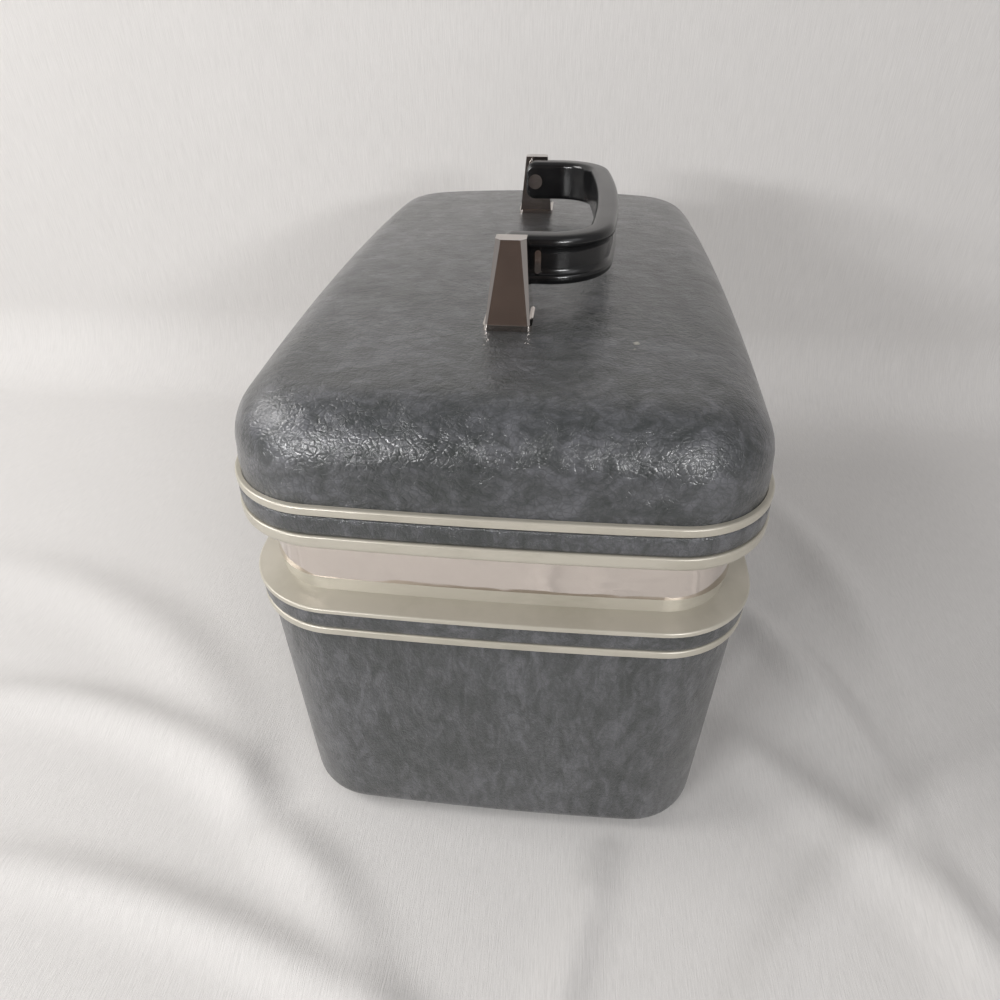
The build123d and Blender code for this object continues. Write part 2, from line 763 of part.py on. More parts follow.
def pivot_bore(radius):
    with BuildPart(mode=Mode.PRIVATE) as bore:
        with BuildSketch(Plane.YZ.offset(-half_length)):
            with Locations((0, pivot_z)):
                Circle(radius)
        extrude(amount=case_length)
    return bore.part


with BuildPart() as handle_core:
    add(handle_form(core_thickness, core_width, core_thickness / 4, 0, core_heel, core_heel_rounding))
    add(pivot_bore(pivot_radius + fit), mode=Mode.SUBTRACT)
write(handle_core, "handle_core")

with BuildPart() as handle_grip:
    add(handle_form(handle_thickness, handle_width, handle_rounding, channel_depth,
                    handle_heel, heel_rounding))
    add(handle_form(core_thickness + 2 * core_clearance, core_width + 2 * core_clearance,
                    core_thickness / 4, 0, core_heel + core_clearance, core_heel_rounding),
        mode=Mode.SUBTRACT)
    add(pivot_bore(pivot_radius + fit), mode=Mode.SUBTRACT)
write(handle_grip, "handle_grip")

for place, side in BOTH_SIDES:
    with BuildPart() as tip:
        with BuildSketch(Plane.YZ.offset(side * (arm_outer_x - channel_depth))):
            with Locations((-tip_from_pivot, pivot_z)):
                SlotOverall(tip_length, tip_width, rotation=90)
        extrude(amount=side * (channel_depth + tip_proud))
    write(tip, f"handle_tip_{place}")

# ================================================================== hinges
hinge_y = edge_y(hinge_x) - hinge_inset
knuckle_pitch = hinge_width / knuckle_count


def knuckles(middle, order, plate_inset, tab_low, tab_high):
    """The barrels of one leaf, each with the tab that joins it to its plate."""
    reach = plate_inset - leaf_thickness / 2 - hinge_inset
    with BuildPart(mode=Mode.PRIVATE) as row:
        for index in order:
            low_x = middle - hinge_width / 2 + index * knuckle_pitch + knuckle_gap / 2
            with BuildSketch(Plane.YZ.offset(low_x)):
                with Locations((hinge_y, hinge_z)):
                    Circle(knuckle_radius)
                with Locations((hinge_y - reach / 2, (tab_low + tab_high) / 2)):
                    Rectangle(reach, tab_high - tab_low)
            extrude(amount=knuckle_pitch - knuckle_gap)
    return row.part


def hinge_bore(radius, middle):
    with BuildPart(mode=Mode.PRIVATE) as bore:
        with BuildSketch(Plane.YZ.offset(middle - hinge_width / 2)):
            with Locations((hinge_y, hinge_z)):
                Circle(radius)
        extrude(amount=hinge_width)
    return bore.part


for place, side in BOTH_SIDES:
    middle = side * hinge_x
    with BuildPart() as lower_leaf:
        add(wall_plate(middle, 1, hinge_width, recess_depth - leaf_thickness, recess_depth - fit, plate_z,
                       plate_z + plate_height))
        add(knuckles(middle, (1, 3), recess_depth, plate_z + plate_height - knuckle_tab,
                     plate_z + plate_height))
        for index in (1, 3):
            low_x = middle - hinge_width / 2 + index * knuckle_pitch + knuckle_gap / 2
            with BuildSketch(Plane.YZ.offset(low_x)):
                with Locations((hinge_y + stop_reach / 2, hinge_z + stop_height / 2)):
                    Rectangle(stop_reach, stop_height)
            extrude(amount=knuckle_pitch - knuckle_gap)
        add(hinge_bore(hinge_pin_radius + fit, middle), mode=Mode.SUBTRACT)
        for x in pair(middle, rivet_spacing):
            add(rivet_bore(x, 1, plate_rivet_z), mode=Mode.SUBTRACT)
    write(lower_leaf, f"hinge_body_leaf_{place}")

    with BuildPart() as upper_leaf:
        add(wall_plate(middle, 1, hinge_width, valance_inset - leaf_thickness, valance_inset - fit,
                       upper_leaf_z, upper_leaf_z + upper_leaf_height))
        add(knuckles(middle, (0, 2, 4), valance_inset, upper_leaf_z, upper_leaf_z + knuckle_tab))
        add(hinge_bore(hinge_pin_radius + fit, middle), mode=Mode.SUBTRACT)
        for x in pair(middle, rivet_spacing):
            add(rivet_bore(x, 1, upper_rivet_z), mode=Mode.SUBTRACT)
    write(upper_leaf, f"hinge_lid_leaf_{place}")

    with BuildPart() as hinge_pin:
        add(hinge_bore(hinge_pin_radius, middle))
    write(hinge_pin, f"hinge_pin_{place}")

with BuildPart() as body_rivets:
    for x, side, z in BODY_RIVETS:
        add(rivet(x, side, z, recess_depth - leaf_thickness, opening_inset, 0))
write(body_rivets, "body_rivets")

with BuildPart() as lid_rivets:
    for x, side, z in HINGE_LID_RIVETS:
        add(rivet(x, side, z, valance_inset - leaf_thickness, skirt_inner_inset, rivet_head_height))
    for x, side, z in STRIKER_RIVETS:
        add(rivet(x, side, z, valance_inset - striker_thickness, skirt_inner_inset, rivet_head_height))
write(lid_rivets, "lid_rivets")

# ================================================================== latches, released and leaning out
latch_y = -(edge_y(latch_x) - latch_inset)
hasp_width = latch_width - 2 * latch_ear - 2 * body_gap


def leaning_plane(middle):
    """A section plane at a latch pivot: x out of the case, y up the leaning hasp."""
    lean = radians(latch_lean)
    return Plane(origin=(middle, latch_y, latch_z), x_dir=(0, -cos(lean), -sin(lean)), z_dir=(-1, 0, 0))


def lock_plane(middle, outwards):
    """A plane on the hasp's face at the lock, moved outwards from the latch pivot."""
    hasp = leaning_plane(middle)
    centre = hasp.origin + hasp.x_dir * outwards + hasp.y_dir * lock_height
    return Plane(origin=centre, x_dir=(1, 0, 0), z_dir=hasp.x_dir)


for place, side in BOTH_SIDES:
    middle = side * latch_x
    with BuildPart() as bracket:
        with BuildSketch(Plane.YZ.offset(middle)):
            with Locations((latch_y, latch_z)):
                Circle(latch_barrel_radius)
            with Locations((latch_y + (recess_depth - latch_inset) / 2, (plate_z + latch_z) / 2)):
                Rectangle(recess_depth - latch_inset - leaf_thickness / 2, latch_z - plate_z)
            with Locations((latch_y, (plate_z + latch_z) / 2)):
                Rectangle(2 * latch_barrel_radius, latch_z - plate_z)
        extrude(amount=latch_width / 2, both=True)
        with BuildSketch(Plane.YZ.offset(middle)):
            with Locations((latch_y - latch_barrel_radius, latch_z + latch_barrel_radius)):
                Rectangle(2 * (recess_depth - latch_inset - leaf_thickness + 2 * latch_barrel_radius),
                          4 * plate_height)
        extrude(amount=latch_width / 2 - latch_ear, both=True, mode=Mode.SUBTRACT)
        add(wall_plate(middle, -1, latch_width, recess_depth - leaf_thickness, recess_depth - fit, plate_z,
                       plate_z + plate_height))
        with BuildSketch(Plane.YZ.offset(middle)):
            with Locations((latch_y, latch_z)):
                Circle(latch_pin_radius + fit)
        extrude(amount=latch_width, both=True, mode=Mode.SUBTRACT)
        for x in pair(middle, rivet_spacing):
            add(rivet_bore(x, -1, plate_rivet_z), mode=Mode.SUBTRACT)
    write(bracket, f"latch_bracket_{place}")

    with BuildPart() as latch_pin:
        with BuildSketch(Plane.YZ.offset(middle)):
            with Locations((latch_y, latch_z)):
                Circle(latch_pin_radius)
        extrude(amount=latch_width / 2, both=True)
    write(latch_pin, f"latch_pin_{place}")

    with BuildPart() as hasp:
        with BuildSketch(leaning_plane(middle)) as section:
            Circle(latch_barrel_radius)
            with Locations((latch_barrel_radius - latch_thickness / 2, latch_rise / 2)):
                Rectangle(latch_thickness, latch_rise)
            fillet(section.vertices().group_by(Axis.Y)[-1], latch_edge)
        extrude(amount=hasp_width / 2, both=True)
        with BuildSketch(leaning_plane(middle)):
            with Locations((latch_barrel_radius - latch_thickness / 2 - hook_reach / 2 + 0.2,
                            hook_height + hook_thickness / 2)):
                Rectangle(hook_reach - 0.4, hook_thickness)
        extrude(amount=hook_width / 2, both=True)
        with BuildSketch(leaning_plane(middle)):
            Circle(latch_pin_radius + fit)
        extrude(amount=latch_width / 2, both=True, mode=Mode.SUBTRACT)
        if side > 0:
            with BuildSketch(lock_plane(middle, -lock_depth)):
                Circle(lock_radius + fit)
            extrude(amount=3 * lock_depth, mode=Mode.SUBTRACT)
    write(hasp, f"latch_hasp_{place}")

    with BuildPart() as striker:
        add(wall_plate(middle, -1, striker_width, valance_inset - striker_thickness, valance_inset - fit,
                       striker_top_z - striker_height, striker_top_z))
        striker_face_y = edge_y(latch_x) - valance_inset + striker_thickness
        with BuildSketch(Plane.XY.offset(striker_top_z - striker_lip_thickness)):
            with Locations((middle, -(striker_face_y + striker_lip_reach / 2))):
                Rectangle(striker_width, striker_lip_reach + striker_thickness)
        extrude(amount=striker_lip_thickness)
        for x in pair(middle, striker_rivet_spacing):
            add(rivet_bore(x, -1, striker_rivet_z), mode=Mode.SUBTRACT)
    write(striker, f"latch_striker_{place}")

with BuildPart() as lock_barrel:
    with BuildSketch(lock_plane(latch_x, latch_barrel_radius + lock_proud)):
        Circle(lock_radius)
        Circle(plug_radius + fit, mode=Mode.SUBTRACT)
    extrude(amount=-lock_depth)
write(lock_barrel, "lock_barrel")

with BuildPart() as lock_plug:
    with BuildSketch(lock_plane(latch_x, latch_barrel_radius + lock_proud)):
        Circle(plug_radius)
    extrude(amount=-lock_depth)
    with BuildSketch(lock_plane(latch_x, latch_barrel_radius + lock_proud)):
        Rectangle(keyway_width, keyway_length)
    extrude(amount=-keyway_depth, mode=Mode.SUBTRACT)
write(lock_plug, "lock_plug")
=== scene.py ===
"""A hard-sided vanity case dressed for a render: grained vinyl skins, crowned vinyl bands, quilted linings, a
moulded handle on two chromed posts, and finishes for all the metal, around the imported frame.

Lengths in the formulas are millimetres; vertices are written in metres.
"""
from math import atan2, cos, hypot, pi, radians, sin, sqrt
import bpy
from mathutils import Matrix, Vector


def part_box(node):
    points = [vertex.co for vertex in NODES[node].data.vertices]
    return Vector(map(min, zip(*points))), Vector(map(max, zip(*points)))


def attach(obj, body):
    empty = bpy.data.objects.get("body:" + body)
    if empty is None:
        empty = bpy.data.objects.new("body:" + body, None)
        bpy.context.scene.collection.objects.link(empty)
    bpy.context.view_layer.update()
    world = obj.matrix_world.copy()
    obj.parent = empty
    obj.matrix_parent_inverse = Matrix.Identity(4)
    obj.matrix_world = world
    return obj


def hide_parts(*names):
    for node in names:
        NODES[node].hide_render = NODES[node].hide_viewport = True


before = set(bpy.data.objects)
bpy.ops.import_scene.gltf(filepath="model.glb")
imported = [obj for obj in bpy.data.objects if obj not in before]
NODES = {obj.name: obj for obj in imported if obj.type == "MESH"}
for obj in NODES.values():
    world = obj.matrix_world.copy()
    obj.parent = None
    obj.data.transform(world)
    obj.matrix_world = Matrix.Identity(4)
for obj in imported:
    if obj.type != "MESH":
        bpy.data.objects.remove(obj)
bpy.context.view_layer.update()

from types import SimpleNamespace

import bmesh
import bpy
import numpy as np
from bpy.props import FloatProperty, FloatVectorProperty, IntProperty, PointerProperty
from mathutils import Quaternion, Vector

bl_info = {
    "name": "Vanity Case Dressing",
    "version": (1, 0, 0),
    "blender": (4, 5, 0),
    "location": "View3D > Sidebar > Vanity Case",
    "description": "Skins, linings, handle and finishes for a hard-sided vanity case",
    "category": "Object",
}

MM = 0.001
BUMP, MATHS, MIX, RAMP = "ShaderNodeBump", "ShaderNodeMath", "ShaderNodeMix", "ShaderNodeValToRGB"
NOISE, VORONOI, WAVE = "ShaderNodeTexNoise", "ShaderNodeTexVoronoi", "ShaderNodeTexWave"
HUES = {"out": 2, "data_type": "RGBA"}  # makes a Mix node one for colours
FACTOR, UNDER, OVER = 0, 6, 7  # and these are its sockets then
SKIN_STEPS = (36, 24, 14)  # stations on half a side, half an end and a corner of the outline
PAD_STEPS = (90, 56, 20)  # more of them, for the quilting
LID_RINGS = (8, 16, 21)  # rings of a lid's wall, rounding and crown
TUB_RINGS = (12, 8, 11)  # rings of a tub's wall, rounding and floor


# ---------------------------------------------------------------- colours and nodes
def linear(code):
    """A six-digit sRGB hex colour as linear RGBA."""
    values = [int(code[i:i + 2], 16) / 255 for i in (0, 2, 4)]
    return tuple(v / 12.92 if v <= 0.04045 else ((v + 0.055) / 1.055) ** 2.4 for v in values) + (1.0,)


def grey(value):
    """A linear grey, for the ramps that turn a pattern into a share or a roughness."""
    return (value, value, value, 1.0)


def toned(colour, times, plus=0.0):
    """A linear colour made paler or darker."""
    return tuple(min(1.0, channel * times + plus) for channel in colour[:3]) + (1.0,)


def add_node(tree, kind, inputs=None, out=0, stops=(), **settings):
    """Adds a node with its settings and links, and gives back one of its outputs.

    Inputs maps a socket to a value or to the output that feeds it. Stops are a colour ramp's (place, colour).
    """
    made = tree.nodes.new(kind)
    for name, value in settings.items():
        setattr(made, name, value)
    for name, value in (inputs or {}).items():
        if isinstance(value, bpy.types.NodeSocket):
            tree.links.new(value, made.inputs[name])
        else:
            made.inputs[name].default_value = value
    if stops:
        elements = made.color_ramp.elements
        while len(elements) < len(stops):
            elements.new(0.5)
        for element, (place, colour) in zip(elements, stops):
            element.position = place
            element.color = colour
    return made.outputs[out] if made.outputs else None


def lay_pattern(tree, kind, cells, inputs, out=0, **settings):
    """A texture over the piece's own coordinates, with cells so many millimetres long on x, y and z."""
    place = add_node(tree, "ShaderNodeTexCoord", out="Object")
    per_metre = [1 / (MM * cell) for cell in cells]
    counted = add_node(tree, "ShaderNodeMapping", {"Vector": place, "Scale": per_metre})
    return add_node(tree, kind, {"Vector": counted, "Scale": 1.0, **inputs}, out, **settings)


def new_material(name):
    """An empty node material and its tree."""
    material = bpy.data.materials.new(name)
    material.use_nodes = True
    material.node_tree.nodes.clear()
    return material, material.node_tree


def close_tree(tree, inputs):
    """Ends a material in a Principled shader with these inputs."""
    shader = add_node(tree, "ShaderNodeBsdfPrincipled", inputs)
    add_node(tree, "ShaderNodeOutputMaterial", {"Surface": shader})


# ---------------------------------------------------------------- materials
def grained_vinyl(name, colours, patch, scuffs=()):
    """Calendered vinyl with an embossed leather grain: a marbled print, pebbles and creases, a thin gloss.

    Patch is the print's patch length on x, y and z. Scuffs are (x, y, z, radius) of places rubbed pale.
    """
    material, tree = new_material(name)
    dark, mid, light = tuple(colours.vinyl_dark), tuple(colours.vinyl), tuple(colours.vinyl_light)

    def sized(share):
        return [length * share for length in patch]

    # Wide clouds under smaller patches give the print its smoky look.
    clouds = lay_pattern(tree, NOISE, sized(5.0), {"Detail": 3.0, "Distortion": 0.3})
    patches = lay_pattern(tree, NOISE, sized(0.9), {"Detail": 5.0, "Roughness": 0.68, "Distortion": 0.8})
    both = add_node(tree, MIX, {FACTOR: 0.3, UNDER: patches, OVER: clouds}, **HUES)
    colour = add_node(tree, RAMP, {"Fac": both}, stops=((0.40, dark), (0.5, mid), (0.62, light)))
    # Pebbles of about 2 mm, darker in the valleys between them.
    from_valley = lay_pattern(tree, VORONOI, sized(0.22), {"Randomness": 1.0}, feature="DISTANCE_TO_EDGE")
    pebbles = add_node(tree, RAMP, {"Fac": from_valley}, stops=((0.0, grey(0.0)), (0.22, grey(1.0))))
    valley_darkening = add_node(tree, RAMP, {"Fac": from_valley}, stops=((0.0, grey(0.45)), (0.12, grey(0.0))))
    colour = add_node(tree, MIX, {FACTOR: valley_darkening, UNDER: colour, OVER: dark}, **HUES)
    # Creases a little shorter than the patches break up the highlights along the edges.
    creases = lay_pattern(tree, NOISE, sized(0.75), {"Detail": 5.0, "Roughness": 0.7, "Distortion": 1.4})
    creased = add_node(tree, BUMP, {"Height": creases, "Distance": 0.6 * MM})
    grain = add_node(tree, BUMP, {"Height": pebbles, "Distance": 0.08 * MM, "Normal": creased})
    for x, y, z, radius in scuffs:
        place = add_node(tree, "ShaderNodeTexCoord", out="Object")
        away = add_node(tree, "ShaderNodeVectorMath", {0: place, 1: (x * MM, y * MM, z * MM)}, "Value",
                        operation="DISTANCE")
        near = add_node(tree, "ShaderNodeMapRange",
                        {"Value": away, "From Max": radius * MM, "To Min": 1.0, "To Max": 0.0})
        specks = lay_pattern(tree, NOISE, (2.381, 4.167, 2.381), {"Detail": 3.0, "Roughness": 0.7})
        rub = add_node(tree, MATHS, {0: near, 1: specks}, operation="MULTIPLY")
        rubbed = add_node(tree, RAMP, {"Fac": rub}, stops=((0.34, grey(0.0)), (0.46, grey(0.7))))
        colour = add_node(tree, MIX, {FACTOR: rubbed, UNDER: colour, OVER: linear("a5a295")}, **HUES)
    # Handling has left places smoother than others, 17 mm across.
    worn = lay_pattern(tree, NOISE, (16.67, 16.67, 16.67), {"Detail": 4.0, "Roughness": 0.6})
    roughness = add_node(tree, RAMP, {"Fac": worn}, stops=((0.3, grey(0.28)), (0.75, grey(0.44))))
    close_tree(tree, {"Base Color": colour, "Roughness": roughness, "Normal": grain, "Coat Normal": grain,
                      "Coat Weight": 0.6, "Coat Roughness": 0.09})
    return material


def satin_enamel(name, colour, worn_colour):
    """Satin enamel over an extrusion: the die's draw lines show through, grime has settled in clouds."""
    material, tree = new_material(name)
    grime = lay_pattern(tree, NOISE, (45.45, 45.45, 16.67), {"Detail": 5.0, "Roughness": 0.6})
    share = add_node(tree, RAMP, {"Fac": grime}, stops=((0.45, grey(0.0)), (0.8, grey(0.6))))
    base = add_node(tree, MIX, {FACTOR: share, UNDER: colour, OVER: worn_colour}, **HUES)
    lines = lay_pattern(tree, NOISE, (111.1, 111.1, 0.4545), {"Detail": 2.0})
    drawn = add_node(tree, BUMP, {"Height": lines, "Distance": 0.02 * MM})
    roughness = add_node(tree, RAMP, {"Fac": grime}, stops=((0.3, grey(0.30)), (0.8, grey(0.46))))
    close_tree(tree, {"Base Color": base, "Roughness": roughness, "Normal": drawn, "Metallic": 0.35,
                      "Coat Weight": 0.25, "Coat Roughness": 0.2})
    return material


def polished_metal(name, colour, roughness, scratch=0.0, wave_mm=0.0):
    """Buffed or plated metal: dull clouds, hairlines that lift the roughness, and a sheet's slow waviness."""
    material, tree = new_material(name)
    clouds = lay_pattern(tree, NOISE, (14.29, 14.29, 14.29), {"Detail": 4.0})
    share = add_node(tree, RAMP, {"Fac": clouds}, stops=((0.5, grey(0.0)), (0.9, grey(0.3))))
    base = add_node(tree, MIX, {FACTOR: share, UNDER: colour, OVER: toned(colour, 0.72)}, **HUES)
    hairs = lay_pattern(tree, NOISE, (3.846, 3.846, 0.3846), {"Detail": 3.0, "Roughness": 0.6})
    lifted = add_node(tree, RAMP, {"Fac": hairs},
                      stops=((0.35, grey(roughness)), (0.8, grey(roughness + scratch))))
    inputs = {"Base Color": base, "Roughness": lifted, "Metallic": 1.0}
    if wave_mm:
        waves = lay_pattern(tree, NOISE, (38.46, 38.46, 16.67), {"Detail": 2.0})
        inputs["Normal"] = add_node(tree, BUMP, {"Height": waves, "Distance": wave_mm * MM})
    close_tree(tree, inputs)
    return material


def moulded_plastic(name, colour, roughness, texture_mm=0.02):
    """Injection-moulded plastic: faint flow marks, rubbed places smoother, over a spark-eroded skin."""
    material, tree = new_material(name)
    flow = lay_pattern(tree, NOISE, (35.71, 35.71, 35.71), {"Detail": 3.0})
    share = add_node(tree, RAMP, {"Fac": flow}, stops=((0.4, grey(0.0)), (0.8, grey(0.6))))
    base = add_node(tree, MIX, {FACTOR: share, UNDER: colour, OVER: toned(colour, 1.3, 0.004)}, **HUES)
    skin = lay_pattern(tree, NOISE, (0.4348, 0.4348, 0.4348), {"Detail": 2.0})
    eroded = add_node(tree, BUMP, {"Height": skin, "Distance": texture_mm * MM})
    rubbed = add_node(tree, RAMP, {"Fac": flow},
                      stops=((0.3, grey(roughness)), (0.8, grey(roughness + 0.12))))
    close_tree(tree, {"Base Color": base, "Roughness": rubbed, "Normal": eroded})
    return material


def woven_cloth(name, colour, shade):
    """Plain-woven lining cloth: ribs on all three axes, slubs along the warp, and a soft sheen.

    The ribs are 1.1 mm apart, about twice a real lining's, so that the weave shows.
    """
    material, tree = new_material(name)
    one_to_a_cell = 0.32  # the Scale at which a wave's bands are a cell apart
    uneven = {"Scale": one_to_a_cell, "Distortion": 0.6, "Detail": 1.0}
    ribs = [lay_pattern(tree, WAVE, (1.1, 1.1, 1.1), uneven, "Fac", bands_direction=axis)
            for axis in ("X", "Y", "Z")]
    crossed = add_node(tree, MATHS, {0: ribs[0], 1: ribs[1]}, operation="ADD")
    weave = add_node(tree, MATHS, {0: crossed, 1: ribs[2]}, operation="ADD")
    raised = add_node(tree, BUMP, {"Height": weave, "Distance": 0.09 * MM})
    slubs = lay_pattern(tree, NOISE, (8.333, 8.333, 1.111), {"Detail": 4.0, "Roughness": 0.6})
    share = add_node(tree, RAMP, {"Fac": slubs}, stops=((0.35, grey(0.0)), (0.75, grey(1.0))))
    base = add_node(tree, MIX, {FACTOR: share, UNDER: shade, OVER: colour}, **HUES)
    close_tree(tree, {"Base Color": base, "Normal": raised, "Roughness": 0.82, "Sheen Weight": 0.35,
                      "Sheen Roughness": 0.5})
    return material


def slubbed_sheeting(name, colour):
    """Woven sheeting for the backdrop: slubs run back over the floor and up the wall, with darker hollows."""
    material, tree = new_material(name)
    clouds = lay_pattern(tree, NOISE, (142.9, 142.9, 142.9), {"Detail": 4.0})
    slubs = lay_pattern(tree, NOISE, (11.11, 0.6667, 25.0), {"Detail": 4.0, "Roughness": 0.7})
    base = add_node(tree, MIX, {FACTOR: clouds, UNDER: colour, OVER: toned(colour, 1.06)}, **HUES)
    share = add_node(tree, RAMP, {"Fac": slubs}, stops=((0.35, grey(0.6)), (0.6, grey(0.0))))
    base = add_node(tree, MIX, {FACTOR: share, UNDER: base, OVER: toned(colour, 0.86)}, **HUES)
    raised = add_node(tree, BUMP, {"Height": slubs, "Distance": 0.3 * MM})
    close_tree(tree, {"Base Color": base, "Normal": raised, "Roughness": 0.92, "Sheen Weight": 0.2})
    return material


def dress(material, *names):
    """Gives CAD nodes this material in place of their own."""
    for name in names:
        data = NODES[name].data
        data.materials.clear()
        data.materials.append(material)


def pairs(*parts):
    """The names of the left and the right piece of each part."""
    return [f"{part}_{side}" for part in parts for side in ("left", "right")]


# ---------------------------------------------------------------- the case's plan and surfaces
class Plan:
    """The rims' outline: arcs about four far centres joined by round corners, as in the frame."""

    def __init__(self, sizes):
        self.half_length = sizes.case_length / 2
        self.half_width = sizes.case_width / 2
        self.corner = sizes.corner_radius
        span_x = self.half_length - sizes.end_bow
        span_y = self.half_width - sizes.side_bow
        self.side_radius = (span_x ** 2 + sizes.side_bow ** 2) / (2 * sizes.side_bow)
        self.end_radius = (span_y ** 2 + sizes.end_bow ** 2) / (2 * sizes.end_bow)

    def corner_centre(self):
        """Where circles of radius R_side - r and R_end - r about the far centres meet."""
        below = self.side_radius - self.half_width
        behind = self.end_radius - self.half_length
        apart = hypot(below, behind)
        side, end = self.side_radius - self.corner, self.end_radius - self.corner
        along = (side ** 2 - end ** 2 + apart ** 2) / (2 * apart)
        off = sqrt(side ** 2 - along ** 2)
        return (off * below - along * behind) / apart, (along * below + off * behind) / apart - below

    def loop(self, side_steps, end_steps, corner_steps):
        """Points and inward normals round the outline, anticlockwise from the middle of the +X end.

        An arc is p = centre + R (cos a, sin a); one quarter is mirrored to a half, and the half turned.
        """
        cx, cy = self.corner_centre()
        side_y = self.half_width - self.side_radius
        end_x = self.half_length - self.end_radius
        end_angle = atan2(cy, cx - end_x)
        side_angle = atan2(cy - side_y, cx)
        arcs = []
        for x, y, radius, first, last, steps in (
                (end_x, 0.0, self.end_radius, 0.0, end_angle, end_steps),
                (cx, cy, self.corner, end_angle, side_angle, corner_steps),
                (0.0, side_y, self.side_radius, side_angle, pi / 2, side_steps)):
            angles = np.linspace(first, last, steps, endpoint=False)
            arcs.append(np.column_stack([x + radius * np.cos(angles), y + radius * np.sin(angles), angles]))
        quarter = np.vstack(arcs)
        mirrored = np.vstack([[0.0, self.half_width, pi / 2], quarter[:0:-1]]) * (-1, 1, -1) + (0, 0, pi)
        half = np.vstack([quarter, mirrored])
        whole = np.vstack([half, half * (-1, -1, 1) + (0, 0, pi)])
        return whole[:, :2], -np.column_stack([np.cos(whole[:, 2]), np.sin(whole[:, 2])])


def grid_faces(rows, columns, closed=True, capped=False):
    """Quads of a grid; closed joins the last column to the first, capped closes the first and last row."""
    strips = columns if closed else columns - 1
    row, column = np.meshgrid(np.arange(rows - 1), np.arange(strips), indexing="ij")
    right = (column + 1) % columns
    near, far = row * columns, (row + 1) * columns
    corners = [near + column, near + right, far + right, far + column]
    faces = np.stack(corners, axis=-1).reshape(-1, 4).tolist()
    if capped:
        faces += [list(range(columns)), list(range((rows - 1) * columns, rows * columns))]
    return faces


def surface(name, points, faces, material, smooth=True):
    """A mesh object from an array of points in millimetres."""
    data = bpy.data.meshes.new(name)
    data.from_pydata((np.reshape(points, (-1, 3)) * MM).tolist(), [], faces)
    data.materials.append(material)
    data.polygons.foreach_set("use_smooth", [smooth] * len(data.polygons))
    data.update()
    made = bpy.data.objects.new(name, data)
    bpy.context.scene.collection.objects.link(made)
    return made


def outward(made):
    """Turns every face of a closed mesh outwards."""
    work = bmesh.new()
    work.from_mesh(made.data)
    bmesh.ops.recalc_face_normals(work, faces=work.faces)
    work.to_mesh(made.data)
    work.free()
    return made


def rings(points, inward, insets, heights):
    """Rings of points: p = outline + inset * n, z = height, which is one for a ring or one for each point."""
    plan = points + inward * np.reshape(insets, (-1, 1, 1))
    heights = np.reshape(heights, (len(plan), -1)) * np.ones(len(points))
    return np.dstack([plan, heights])


def shares(count):
    """So many even shares, from above 0 up to 1."""
    return np.linspace(0, 1, count + 1)[1:]


def shrunk(ring, count):
    """Copies of a ring that shrink towards the middle, one less than count."""
    return ring * (1 - shares(count)[:-1, None, None])


def crown(x, y, top, sizes):
    """z = top - (Ra - sqrt(Ra^2 - y^2)) - (Rl - sqrt(Rl^2 - x^2))."""
    across = sizes.crown_across - np.sqrt(sizes.crown_across ** 2 - y ** 2)
    along = sizes.crown_along - np.sqrt(sizes.crown_along ** 2 - x ** 2)
    return top - across - along


def domed_rings(points, inward, inset, low, top, rounding, sizes):
    """Rings of a lid form, bottom to top: a wall that leans in by the lean, a rounding, then the crown.

    At d inside the wall, z = crown(x, y) - (r - sqrt(r^2 - (r - d)^2)) for d < r, and crown(x, y) after that.
    """
    collar = sizes.lid_collar
    upright = rings(points, inward, [inset] * 3, [low, (low + collar) / 2, collar])
    leaned = points + inward * (inset + sizes.lid_lean)
    spring = crown(leaned[:, 0], leaned[:, 1], top, sizes) - rounding
    share = shares(LID_RINGS[0])
    wall = rings(points, inward, inset + sizes.lid_lean * share, collar + (spring - collar) * share[:, None])
    angles = shares(LID_RINGS[1]) * pi / 2
    edge = rings(points, inward, inset + sizes.lid_lean + rounding * (1 - np.cos(angles)), 0 * angles)
    edge[..., 2] = crown(edge[..., 0], edge[..., 1], top, sizes) - rounding * (1 - np.sin(angles))[:, None]
    cap = shrunk(edge[-1], LID_RINGS[2])
    cap[..., 2] = crown(cap[..., 0], cap[..., 1], top, sizes)
    return np.vstack([upright, wall, edge, cap])


def tub_rings(points, inward, inset, floor, top, rounding, sizes):
    """Rings of a tub form, top to bottom: collar, a wall that leans in by the lean, a rounding, the floor."""
    bend, lean = sizes.tub_bend, sizes.tub_lean
    collar = rings(points, inward, [inset, inset], [top, bend])
    share = shares(TUB_RINGS[0])
    wall = rings(points, inward, inset + lean * share, bend + (floor + rounding - bend) * share)
    angles = shares(TUB_RINGS[1]) * pi / 2
    edge = rings(points, inward, inset + lean + rounding * (1 - np.cos(angles)),
                 floor + rounding * (1 - np.sin(angles)))
    base = shrunk(edge[-1], TUB_RINGS[2])
    base[..., 2] = floor
    return np.vstack([collar, wall, edge, base])


def double_skin(name, outer, inner, material):
    """A closed shell from outer and inner rings that both start at the open edge and end in the middle."""
    rows = np.vstack([outer[::-1], inner])
    return outward(surface(name, rows, grid_faces(len(rows), rows.shape[1], capped=True), material))


def closed_ring(name, points, inward, insets, heights, material):
    """A solid band: a closed profile of insets and heights carried round the outline."""
    rows = rings(points, inward, insets, heights)
    faces = np.array(grid_faces(len(rows) + 1, len(points))) % (len(rows) * len(points))
    return outward(surface(name, rows, faces.tolist(), material))


def arc_length(points):
    """Distance walked round a closed loop up to each point, and the whole loop's length."""
    gaps = np.linalg.norm(np.roll(points, -1, axis=0) - points, axis=1)
    return np.concatenate([[0.0], np.cumsum(gaps)[:-1]]), gaps.sum()


